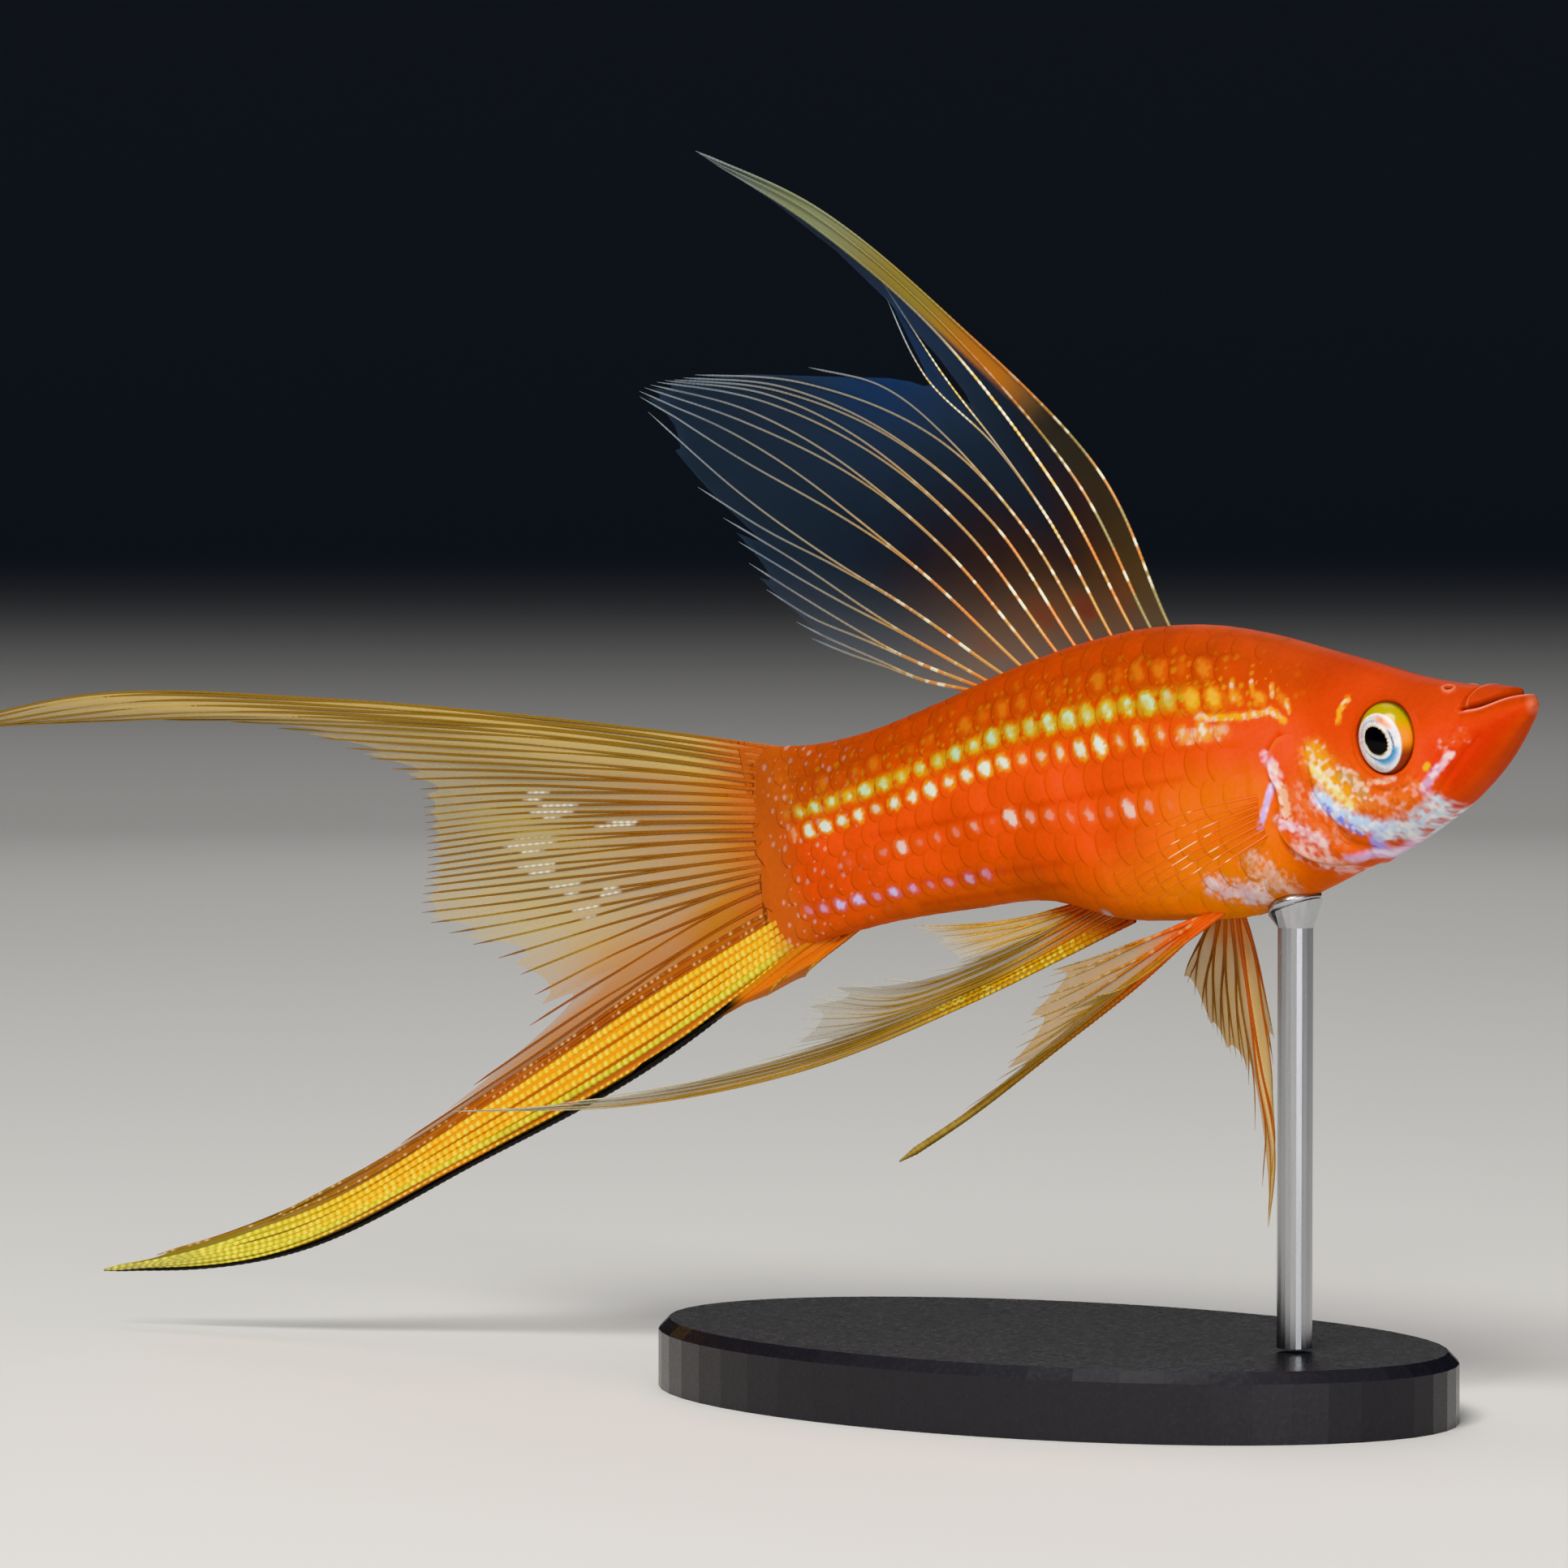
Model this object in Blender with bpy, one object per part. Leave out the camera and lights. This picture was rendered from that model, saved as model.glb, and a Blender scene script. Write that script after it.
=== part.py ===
"""A red lyretail hi-fin swordtail, a tropical aquarium fish, life size on a plain display stand.

The fish swims along +X with its right side towards -Y, nose up by a few degrees.
Sizes are in millimetres and are turned into metres when a mesh is made.

A place on the fish is (s, h, w): s runs back from the tip of the snout along the fish,
h is up from the level of the mouth, and w is out to the fish's right.
"""

import math

import bpy
import numpy as np

MM = 0.001
GAP = 0.3  # between pieces that touch

# The fish's length without its tail fin, and its attitude
STANDARD_LENGTH = 65.0
PITCH = math.radians(9.8)
SNOUT_X, SNOUT_Z = 40.0, 51.0

# The bend of a swimming fish: the hind body swings to its left and the tail fin back to its right
BEND_START = 22.0
BEND_AT_ROOT = 2.5
BEND_SLOPE = 0.087
BEND_RETURN = 0.0025

# Body sections: distance back, top, bottom, half width, and height of the widest line
BODY = np.array([
    (0.0, 0.10, -0.35, 0.45, -0.15),
    (0.3, 0.45, -0.80, 0.85, -0.20),
    (1.2, 0.90, -1.80, 1.65, -0.40),
    (3.0, 1.50, -3.65, 2.60, -0.85),
    (6.0, 2.35, -5.85, 3.60, -1.30),
    (9.0, 3.35, -7.35, 4.30, -1.50),
    (12.0, 4.65, -8.50, 4.75, -1.50),
    (16.0, 6.35, -9.50, 5.15, -1.20),
    (20.5, 8.20, -10.70, 5.40, -0.80),
    (25.0, 9.55, -11.35, 5.45, -0.40),
    (30.0, 10.20, -10.95, 5.25, 0.00),
    (36.0, 10.10, -10.05, 4.75, 0.10),
    (42.0, 9.40, -7.95, 4.15, 0.20),
    (50.0, 7.90, -7.45, 3.40, 0.10),
    (58.0, 6.80, -7.40, 2.70, -0.10),
    (63.0, 6.80, -7.75, 1.95, -0.20),
    (65.4, 7.10, -7.90, 1.30, -0.20),
])
SECTION_ROUNDNESS = 2.25  # 2 is an ellipse, more is boxier
CROWN_ROUNDNESS = 2.7  # the flat top of the head
CROWN_END = 16.0
RING_SIDES = 32

# Where the body is parted: each boundary is a ring that bows forwards above and below
HEAD_END = 20.2
HEAD_BOW_TOP, HEAD_BOW_BOTTOM = 3.2, 4.2
TORSO_END = 44.0
STEM_END = 65.4

# Head details
EYE_S, EYE_H = 10.2, -0.9
EYE_RADIUS = 2.6
EYE_DEPTH = 1.3  # half its thickness
EYE_INSET = 0.5  # how far its centre lies inside the skin
EYE_LEAN = 0.15  # it faces a little forwards
MOUTH_FRONT, MOUTH_CORNER = 0.62, 4.3
MOUTH_HEIGHT, MOUTH_RISE = 0.1, 0.15  # at its corners, and from there up to the front
LIP_RADIUS = 0.38
LIP_STEPS = 18
MOUTH_DEPTH = 0.75
MOUTH_OPEN = 0.2
NOSTRIL_S, NOSTRIL_W, NOSTRIL_RADIUS = 5.6, 1.9, 0.42

# Gill cover: a rounded plate set in a pocket of the head, standing a little proud of it
COVER_S, COVER_H = 15.6, -3.9
COVER_HALF_LENGTH, COVER_HALF_HEIGHT = 3.25, 4.9
COVER_RAKE = 0.12
COVER_ROUNDNESS = 2.6
COVER_PROUD = 0.35
COVER_DEPTH = 0.65

# Fin thicknesses, from the middle of the sheet to its face
RAY_ROOT, RAY_END = 0.48, 0.32
WEB_ROOT, WEB_END = 0.30, 0.25
TIP_HALF = 0.16

# Rows of points along a ray
FIN_STEP, SMALL_FIN_STEP = 4.5, 3.0
FEWEST_ROWS = 4

RAY_SHORT, WEB_SHORT = 0.8, 1.2  # how far before a ray's tip its crest and the sheet end
EDGE_WIDTH = 0.38  # of the sheet outside the first and the last ray
SPLIT_SHIFT = GAP * 0.6  # half the cut between two nodes of one fin

# Where the sheet between two rays draws in from the shorter ray to the longer, in lengths of the shorter
WEB_LETS_GO, WEB_MEETS_RAY = 0.92, 1.25

# Stand
BASE_LENGTH, BASE_WIDTH, BASE_HEIGHT = 64.0, 40.0, 5.0
BASE_BEVEL = 0.8
ROD_S = 21.5
ROD_RADIUS = 1.25
PAD_RADIUS, PAD_HEIGHT = 1.9, 1.4


def smooth(stations, values, at):
    """A smooth curve through the values at these stations, read at one or more places."""
    stations, values = np.asarray(stations, float), np.asarray(values, float)
    at = np.clip(at, stations[0], stations[-1])
    slopes = np.gradient(values, stations, axis=0)
    i = np.clip(np.searchsorted(stations, at, side="right") - 1, 0, len(stations) - 2)
    step = stations[i + 1] - stations[i]
    t = (at - stations[i]) / step
    if values.ndim == 2:
        step, t = step[..., None], t[..., None]
    return (
        (1 + 2 * t) * (1 - t) ** 2 * values[i]
        + t * (1 - t) ** 2 * step * slopes[i]
        + t * t * (3 - 2 * t) * values[i + 1]
        + t * t * (t - 1) * step * slopes[i + 1]
    )


def bend(s):
    """How far the fish's middle plane lies to its left at s."""
    along = np.maximum(0.0, s - BEND_START) / (STANDARD_LENGTH - BEND_START)
    past = np.maximum(0.0, s - STANDARD_LENGTH)
    tail = BEND_AT_ROOT + BEND_SLOPE * past - BEND_RETURN * past**2
    return np.where(s < STANDARD_LENGTH, BEND_AT_ROOT * along**1.5, tail)


def place(s, h, w):
    """The point in metres that lies s back, h up and w to the right on the fish."""
    s, h, w = np.broadcast_arrays(*(np.asarray(v, float) for v in (s, h, w)))
    x = SNOUT_X - s * math.cos(PITCH) - h * math.sin(PITCH)
    z = SNOUT_Z - s * math.sin(PITCH) + h * math.cos(PITCH)
    return np.stack([x, bend(s) - w, z], axis=-1) * MM


def section(s):
    """Top, bottom, half width and widest height of the body at s."""
    return np.moveaxis(smooth(BODY[:, 0], BODY[:, 1:], np.asarray(s, float)), -1, 0)


def roundness(s, upper):
    crown = np.clip((CROWN_END - s) / CROWN_END, 0, 1)
    above = SECTION_ROUNDNESS + (CROWN_ROUNDNESS - SECTION_ROUNDNESS) * crown
    return np.where(upper, above, SECTION_ROUNDNESS)


def skin_w(s, h):
    """Half width of the body at this place along it and this height."""
    top, bottom, half, widest = section(s)
    reach = np.where(h > widest, top - widest, widest - bottom)
    power = roundness(s, h > widest)
    return half * np.maximum(0.0, 1 - np.abs((h - widest) / reach) ** power) ** (1 / power)


def skin_h(s, w, upper):
    """Height of the body's back, or of its belly, this far out from the middle."""
    top, bottom, half, widest = section(s)
    power = roundness(s, upper)
    rise = np.maximum(0.0, 1 - np.abs(w / half) ** power) ** (1 / power)
    return widest + rise * ((top if upper else bottom) - widest)


def ring(s, angles):
    """One ring of points round the body. s may differ from angle to angle."""
    top, bottom, half, widest = section(s)
    upper = np.sin(angles) > 0
    power = 2 / roundness(s, upper)
    rise = np.sign(np.sin(angles)) * np.abs(np.sin(angles)) ** power
    w = half * np.sign(np.cos(angles)) * np.abs(np.cos(angles)) ** power
    return place(s, widest + rise * np.where(upper, top - widest, widest - bottom), w)


def material(name, colour, roughness_value, metallic=0.0):
    made = bpy.data.materials.new(name)
    made.use_nodes = True
    shader = made.node_tree.nodes["Principled BSDF"]
    shader.inputs["Base Color"].default_value = (*colour, 1.0)
    shader.inputs["Roughness"].default_value = roughness_value
    shader.inputs["Metallic"].default_value = metallic
    return made


def add_mesh(name, points, faces, finish=None):
    """A mesh object from points in metres. Without a finish it is a cutter or a piece to join."""
    mesh = bpy.data.meshes.new(name)
    mesh.from_pydata([tuple(p) for p in points], [], [tuple(int(i) for i in f) for f in faces])
    mesh.shade_smooth()
    mesh.set_sharp_from_angle(angle=math.radians(40))
    made = bpy.data.objects.new(name, mesh)
    bpy.context.scene.collection.objects.link(made)
    if finish:
        mesh.materials.append(finish)
    return made


def combine(target, others, operation):
    """Joins the other objects to the target or cuts them from it, applies that, and removes them."""
    tools = bpy.data.collections.new("tools")
    for other in others:
        tools.objects.link(other)
    step = target.modifiers.new("combine", "BOOLEAN")
    step.operation = operation
    step.operand_type = "COLLECTION"
    step.collection = tools
    step.solver = "EXACT"
    graph = bpy.context.evaluated_depsgraph_get()
    result = bpy.data.meshes.new_from_object(target.evaluated_get(graph))
    target.modifiers.remove(step)
    target.data = result
    for other in others:
        bpy.data.objects.remove(other)
    bpy.data.collections.remove(tools)


def loft(rings, nose=None, tail=None):
    """Points and faces of a closed tube through the rings, which run backwards along the fish."""
    count, sides = len(rings), len(rings[0])
    nose = rings[0].mean(axis=0) if nose is None else nose
    tail = rings[-1].mean(axis=0) if tail is None else tail
    points = np.concatenate([*rings, [nose], [tail]])
    faces = []
    for j in range(sides):
        k = (j + 1) % sides
        for i in range(count - 1):
            a, b = i * sides + j, i * sides + k
            faces.append((a, b, b + sides, a + sides))
        faces.append((k, j, count * sides))
        last = (count - 1) * sides
        faces.append((last + j, last + k, count * sides + 1))
    return points, faces


def closed_plate(front, back, triangles):
    """Points and faces of a plate whose two faces share the same triangles, with a rim between them."""
    count = len(front)
    faces = [tuple(t) for t in triangles] + [tuple(i + count for i in t[::-1]) for t in triangles]
    edges = {(t[i], t[(i + 1) % 3]) for t in triangles for i in range(3)}
    for a, b in sorted(edges):
        if (b, a) not in edges:
            faces += [(b, a, a + count), (b, a + count, b + count)]
    return np.concatenate([front, back]), faces


def head_end(angles):
    """Where the head ends at each angle round the body."""
    above, below = np.maximum(0, np.sin(angles)), np.maximum(0, -np.sin(angles))
    return HEAD_END - HEAD_BOW_TOP * above**2 - HEAD_BOW_BOTTOM * below**2


def tube_round_snout(name, height_offset, radii, sides):
    """A tube that follows the mouth from corner to corner round the snout."""
    rings = []
    for i in range(LIP_STEPS + 1):
        tau = -1 + 2 * i / LIP_STEPS
        s = np.array(MOUTH_FRONT + (MOUTH_CORNER - MOUTH_FRONT) * tau * tau)
        h = MOUTH_HEIGHT + MOUTH_RISE * (1 - tau * tau) + height_offset
        w = math.copysign(1, tau) * skin_w(s, h) if i * 2 != LIP_STEPS else 0.0
        taper = 1 - 0.55 * tau**6
        out = np.array([-(1 - abs(tau)) - 0.25, 0.0, tau])
        out /= np.linalg.norm(out)
        turn = np.arange(sides) * 2 * math.pi / sides
        offset = np.outer(np.cos(turn) * radii[0] * taper, out)
        rings.append(place(s + offset[:, 0], h + np.sin(turn) * radii[1] * taper, w + offset[:, 2]))
    return add_mesh(name, *loft(rings))


def ellipsoid(name, centre, radii, lean, finish=None, rows=12, sides=24):
    """An ellipsoid on the fish, with its w leaning as s grows."""
    def at(turn, rise):
        s = radii[0] * math.cos(rise) * math.cos(turn)
        h = radii[1] * math.cos(rise) * math.sin(turn)
        return place(centre[0] + s, centre[1] + h, centre[2] + radii[2] * math.sin(rise) + lean * s)

    rings = [
        np.array([at(2 * math.pi * j / sides, math.pi * (i / rows - 0.5)) for j in range(sides)])
        for i in range(1, rows)
    ]
    points, faces = loft(rings, at(0, -math.pi / 2), at(0, math.pi / 2))
    return add_mesh(name, points, [f[::-1] for f in faces], finish)


def cover_plate(name, side, grow, proud, depth, finish=None):
    """A rounded plate that follows the skin, from depth below it to a little proud of it."""
    spokes, levels = 28, (0.4, 0.72, 0.92, 1.0)
    plan = [(0.0, 0.0, 0.0)]
    for level in levels:
        for i in range(spokes):
            turn = 2 * math.pi * i / spokes
            x = math.copysign(abs(math.cos(turn)) ** (2 / COVER_ROUNDNESS), math.cos(turn))
            y = math.copysign(abs(math.sin(turn)) ** (2 / COVER_ROUNDNESS), math.sin(turn))
            plan.append((level * x, level * y, level))
    plan = np.array(plan)
    h = COVER_H + plan[:, 1] * (COVER_HALF_HEIGHT + grow)
    s = COVER_S + plan[:, 0] * (COVER_HALF_LENGTH + grow) + COVER_RAKE * (h - COVER_H)
    out = skin_w(s, h)
    edge = np.where(plan[:, 2] > 0.99, 0.35, 1.0)
    front = place(s, h, side * (out + proud * edge))
    back = place(s, h, side * (out - depth))
    triangles = [(0, 1 + i, 1 + (i + 1) % spokes) for i in range(spokes)]
    for ring_index in range(len(levels) - 1):
        first = 1 + ring_index * spokes
        for i in range(spokes):
            a, b = first + i, first + (i + 1) % spokes
            triangles += [(a, a + spokes, b + spokes), (a, b + spokes, b)]
    if side > 0:
        triangles = [t[::-1] for t in triangles]
    points, faces = closed_plate(front, back, triangles)
    return add_mesh(name, points, faces, finish)


def eye_centre(side):
    return EYE_S, EYE_H, side * (skin_w(EYE_S, EYE_H) - EYE_INSET)


def build_body(flesh, iris, cover_finish):
    angles = np.arange(RING_SIDES) * 2 * math.pi / RING_SIDES
    end = head_end(angles)

    head_rings = []
    for s in (0.12, 0.45, 1.0, 1.8, 2.9, 4.2, 5.8, 7.5, 9.2, 11.0, 12.8, 14.6, 16.4, 18.2, HEAD_END):
        head_rings.append(ring(s + (end - HEAD_END) * (s / HEAD_END) ** 3, angles))
    rear = place(HEAD_END - 1.5, 0.0, 0.0)
    head = add_mesh("head", *loft(head_rings, place(0, -0.2, 0), rear), flesh)

    torso_rings = []
    for s in np.linspace(HEAD_END + GAP, TORSO_END, 13):
        share = (TORSO_END - s) / (TORSO_END - HEAD_END - GAP)
        torso_rings.append(ring(s + (end - HEAD_END) * share**3, angles))
    front = place(HEAD_END - 1.5 + GAP, 0.0, 0.0)
    add_mesh("torso", *loft(torso_rings, front), flesh)

    stem_rings = [ring(np.full(RING_SIDES, s), angles) for s in np.linspace(TORSO_END + GAP, STEM_END, 12)]
    add_mesh("tail_stem", *loft(stem_rings), flesh)

    lips = [
        tube_round_snout("upper_lip", LIP_RADIUS * 0.9, (LIP_RADIUS, LIP_RADIUS), 8),
        tube_round_snout("lower_lip", -LIP_RADIUS * 1.1, (LIP_RADIUS, LIP_RADIUS), 8),
    ]
    combine(head, lips, "UNION")
    cutters = [tube_round_snout("mouth_line", 0.0, (MOUTH_DEPTH, MOUTH_OPEN), 6)]
    for side in (1, -1):
        grown = (EYE_RADIUS + GAP, EYE_RADIUS + GAP, EYE_DEPTH + GAP)
        cutters.append(ellipsoid("socket", eye_centre(side), grown, side * EYE_LEAN))
        cutters.append(cover_plate("pocket", side, GAP, 2.0, COVER_DEPTH + GAP))
        nostril = (NOSTRIL_S, float(skin_h(NOSTRIL_S, NOSTRIL_W, True)), side * NOSTRIL_W)
        cutters.append(ellipsoid("nostril", nostril, (NOSTRIL_RADIUS,) * 3, 0.0, rows=6, sides=10))
    combine(head, cutters, "DIFFERENCE")

    for side, word in ((1, "right"), (-1, "left")):
        radii = (EYE_RADIUS, EYE_RADIUS, EYE_DEPTH)
        ellipsoid("eye_" + word, eye_centre(side), radii, side * EYE_LEAN, iris)
        cover_plate("gill_cover_" + word, side, 0.0, COVER_PROUD, COVER_DEPTH, cover_finish)


class Fin:
    """A fan of rays. Each key ray is a curve through a few places (s, h), and the rest lie between.

    root puts the foot of a ray on the body, and spread is how far out to the right the sheet lies.
    """

    def __init__(self, keys, count, root=None, spread=None):
        self.places = np.array([key[0] for key in keys], float)
        self.curves = np.array([key[1] for key in keys], float)
        self.rays = np.linspace(0, 1, count)
        self.root = root
        self.spread = spread or (lambda u, t: 0.0 * t)
        lines = [self.at(u, np.linspace(0, 1, 12)) for u in self.rays]
        self.lengths = [np.linalg.norm(np.diff(line, axis=0), axis=1).sum() for line in lines]
        ahead, aside = self.curves[0, 1] - self.curves[0, 0], self.curves[-1, 1] - self.curves[0, 1]
        self.turn = np.sign(ahead[0] * aside[1] - ahead[1] * aside[0])

    def at(self, u, t):
        """Places (s, h, w) on the sheet: u across it from first ray to last, t out along the ray."""
        along = np.linspace(0, 1, self.curves.shape[1])
        on_keys = np.array([smooth(along, curve, t) for curve in self.curves])
        flat = smooth(self.places, on_keys.reshape(len(on_keys), -1), np.array(u))
        return np.column_stack([flat.reshape(on_keys.shape[1:]), self.spread(u, t)])

    def moved_across(self, line, distance):
        """The line moved within the sheet, towards the last ray where the distance is positive."""
        along = np.gradient(line[:, :2], axis=0)
        along /= np.linalg.norm(along, axis=1)[:, None]
        across = np.stack([-along[:, 1], along[:, 0]], axis=1) * self.turn
        return np.column_stack([line[:, :2] + distance * across, line[:, 2]])

    def column(self, line, half, out):
        """Rows of (s, h, w, half thickness, distance out), with the first one set on the body."""
        rows = np.column_stack([line, half, out])
        if self.root:
            rows[0, 1] = self.root(rows[0, 0], rows[0, 2])
        return rows

    def crest(self, i, step):
        """The top of ray i from its root to its tip."""
        length = self.lengths[i]
        t = np.append(np.linspace(0, 1 - RAY_SHORT / length, rows_along(length, step)), 1.0)
        half = np.append(RAY_ROOT + (RAY_END - RAY_ROOT) * t[:-1], TIP_HALF)
        return self.column(self.at(self.rays[i], t), half, t * length)

    def edge(self, i, side, step):
        """The rim of the sheet outside ray i, the first one or the last."""
        length = self.lengths[i]
        t = np.linspace(0, 1 - WEB_SHORT / length, rows_along(length, step))
        line = self.moved_across(self.at(self.rays[i], t), side * EDGE_WIDTH)
        return self.column(line, WEB_ROOT + (WEB_END - WEB_ROOT) * t, t * length)

    def web(self, i, step, shift=0.0):
        """The sheet half way from ray i to the next. Past the shorter ray's end it keeps to the longer."""
        longer, shorter = sorted((i, i + 1), key=lambda ray: -self.lengths[ray])
        short, reach = self.lengths[shorter], self.lengths[longer] - WEB_SHORT
        drawn_in = WEB_MEETS_RAY * short
        out = [*np.linspace(0, short - WEB_SHORT, rows_along(short, step)), (short + drawn_in) / 2]
        out += [*np.arange(drawn_in, reach, step)]
        out = np.array([d for d in out if d < reach - step / 3] + [reach])
        t = out / self.lengths[longer]
        on_longer = self.at(self.rays[longer], t)
        middle = (on_longer + self.at(self.rays[shorter], np.minimum(1.0, out / short))) / 2
        beside = self.moved_across(on_longer, EDGE_WIDTH if longer == i else -EDGE_WIDTH)
        share = np.clip((out / short - WEB_LETS_GO) / (WEB_MEETS_RAY - WEB_LETS_GO), 0, 1)[:, None]
        line = self.moved_across(middle + share**2 * (3 - 2 * share) * (beside - middle), shift)
        return self.column(line, WEB_ROOT + (WEB_END - WEB_ROOT) * t, out)

    def up_to_ray(self, column, i):
        """How many rows of a web's column the sheet reaches on the side of ray i."""
        return max(2, int(np.sum(column[:, 4] < self.lengths[i])))


def rows_along(length, step):
    return max(FEWEST_ROWS, round(length / step) + 1)


def strip(first, second):
    """Triangles between two columns, each given as pairs of (point number, distance out)."""
    triangles = []
    i = j = 0
    while i < len(first) - 1 or j < len(second) - 1:
        first_has_more, second_has_more = i < len(first) - 1, j < len(second) - 1
        if not second_has_more or (first_has_more and first[i + 1][1] <= second[j + 1][1]):
            triangles.append((first[i][0], first[i + 1][0], second[j][0]))
            i += 1
        else:
            triangles.append((first[i][0], second[j + 1][0], second[j][0]))
            j += 1
    return triangles


def build_fin(name, fin, finish, step, first=0, last=None):
    """One node of a fin, from ray number first to last. Inner ends stop half way to the next ray."""
    final = len(fin.rays) - 1
    last = final if last is None else last
    columns = [fin.edge(0, -1, step) if first == 0 else fin.web(first - 1, step, SPLIT_SHIFT)]
    owners = [first]
    for i in range(first, last + 1):
        columns.append(fin.crest(i, step))
        owners.append(i)
        if i < last:
            columns.append(fin.web(i, step))
            owners.append(None)
    columns.append(fin.edge(last, 1, step) if last == final else fin.web(last, step, -SPLIT_SHIFT))
    owners.append(last)
    for end in (0, -1):
        columns[end] = columns[end][: fin.up_to_ray(columns[end], owners[end])]

    numbered, count = [], 0
    for column in columns:
        numbered.append([(count + k, row[4]) for k, row in enumerate(column)])
        count += len(column)
    triangles = []
    for j in range(len(columns) - 1):
        pair = [numbered[j], numbered[j + 1]]
        for side in (0, 1):
            if owners[j + side] is None:
                ray = owners[j + 1 - side]
                pair[side] = pair[side][: fin.up_to_ray(columns[j + side], ray)]
        triangles += strip(*pair)

    s, h, w, half = np.concatenate(columns)[:, :4].T
    near, far = place(s, h, w + half), place(s, h, w - half)
    corners = [near[i] for i in triangles[0]]
    if np.cross(corners[1] - corners[0], corners[2] - corners[0])[1] > 0:
        triangles = [t[::-1] for t in triangles]
    points, faces = closed_plate(near, far, triangles)
    return add_mesh(name, points, faces, finish)


def above_back(s, w):
    return float(skin_h(s, w, True)) + GAP


def below_belly(s, w):
    return float(skin_h(s, w, False)) - GAP


DORSAL = Fin(
    [
        (0.00, [(28.9, 10.5), (33.1, 22.3), (43.9, 35.0), (54.9, 45.4), (67.1, 52.7)]),
        (0.17, [(32.0, 10.5), (36.2, 21.5), (43.8, 32.6), (53.0, 42.2), (62.6, 50.0)]),
        (0.25, [(33.8, 10.5), (37.6, 19.0), (42.0, 27.0), (47.2, 34.6), (52.4, 41.5)]),
        (0.42, [(37.4, 10.3), (39.6, 16.5), (42.5, 22.5), (46.0, 28.4), (49.6, 33.0)]),
        (0.50, [(39.0, 10.2), (42.4, 16.8), (47.0, 23.2), (52.2, 29.4), (57.8, 34.4)]),
        (0.65, [(42.0, 9.7), (47.0, 16.8), (53.6, 23.8), (61.0, 30.4), (68.4, 35.9)]),
        (0.79, [(44.6, 9.2), (51.3, 16.4), (59.2, 23.3), (67.5, 30.0), (75.7, 36.2)]),
        (0.86, [(45.8, 9.1), (51.9, 14.2), (58.4, 19.0), (65.0, 23.6), (71.4, 28.0)]),
        (0.93, [(46.9, 8.9), (51.8, 12.2), (56.9, 15.3), (62.1, 18.2), (67.4, 21.0)]),
        (1.00, [(47.8, 8.7), (51.1, 9.9), (54.6, 11.0), (58.2, 12.3), (61.8, 14.2)]),
    ],
    count=15,
    root=above_back,
    spread=lambda u, t: 0.5 * t * np.sin(5 * u + 2.5 * t) - 1.0 * t * t,
)

CAUDAL = Fin(
    [
        (0.00, [(65.8, 6.9), (85.6, 12.1), (107.7, 17.3), (127.5, 20.9), (145.5, 20.2)]),
        (0.06, [(65.9, 6.1), (83.5, 10.9), (101.5, 15.0), (120.0, 18.4), (139.0, 20.0)]),
        (0.12, [(66.0, 5.3), (79.0, 8.9), (92.0, 12.0), (105.0, 14.7), (118.0, 17.2)]),
        (0.18, [(66.0, 4.3), (76.5, 6.9), (87.0, 9.2), (97.5, 11.3), (107.4, 13.3)]),
        (0.26, [(66.1, 3.2), (75.0, 4.9), (84.0, 6.5), (92.8, 7.9), (101.4, 8.8)]),
        (0.42, [(66.1, 0.6), (75.0, 1.7), (84.0, 2.6), (92.8, 3.3), (101.4, 3.6)]),
        (0.54, [(66.1, -1.3), (75.0, -1.1), (84.0, -0.9), (93.0, -0.7), (102.0, -0.3)]),
        (0.66, [(66.1, -3.4), (72.5, -4.5), (79.0, -5.9), (85.5, -7.4), (91.8, -9.0)]),
        (0.73, [(66.0, -4.4), (73.5, -6.6), (81.5, -9.2), (89.8, -12.1), (97.8, -15.0)]),
        (0.80, [(66.0, -5.4), (78.0, -8.9), (90.0, -13.0), (102.0, -17.1), (113.7, -20.8)]),
        (0.85, [(65.9, -6.3), (82.0, -11.6), (98.0, -17.0), (114.0, -22.0), (129.0, -24.2)]),
        (0.89, [(65.8, -7.1), (83.0, -13.6), (101.0, -19.6), (118.5, -24.3), (135.0, -23.8)]),
        (0.92, [(65.8, -7.9), (82.4, -14.7), (99.0, -19.9), (115.5, -24.5), (131.5, -25.1)]),
        (0.96, [(64.9, -8.5), (66.4, -9.1), (67.8, -9.8), (69.2, -10.5), (70.5, -11.1)]),
        (1.00, [(62.2, -8.0), (63.4, -8.6), (64.6, -9.2), (65.8, -9.7), (66.9, -10.2)]),
    ],
    count=25,
    spread=lambda u, t: 1.1 * t * np.sin(7 * u + 3 * t),
)

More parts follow.
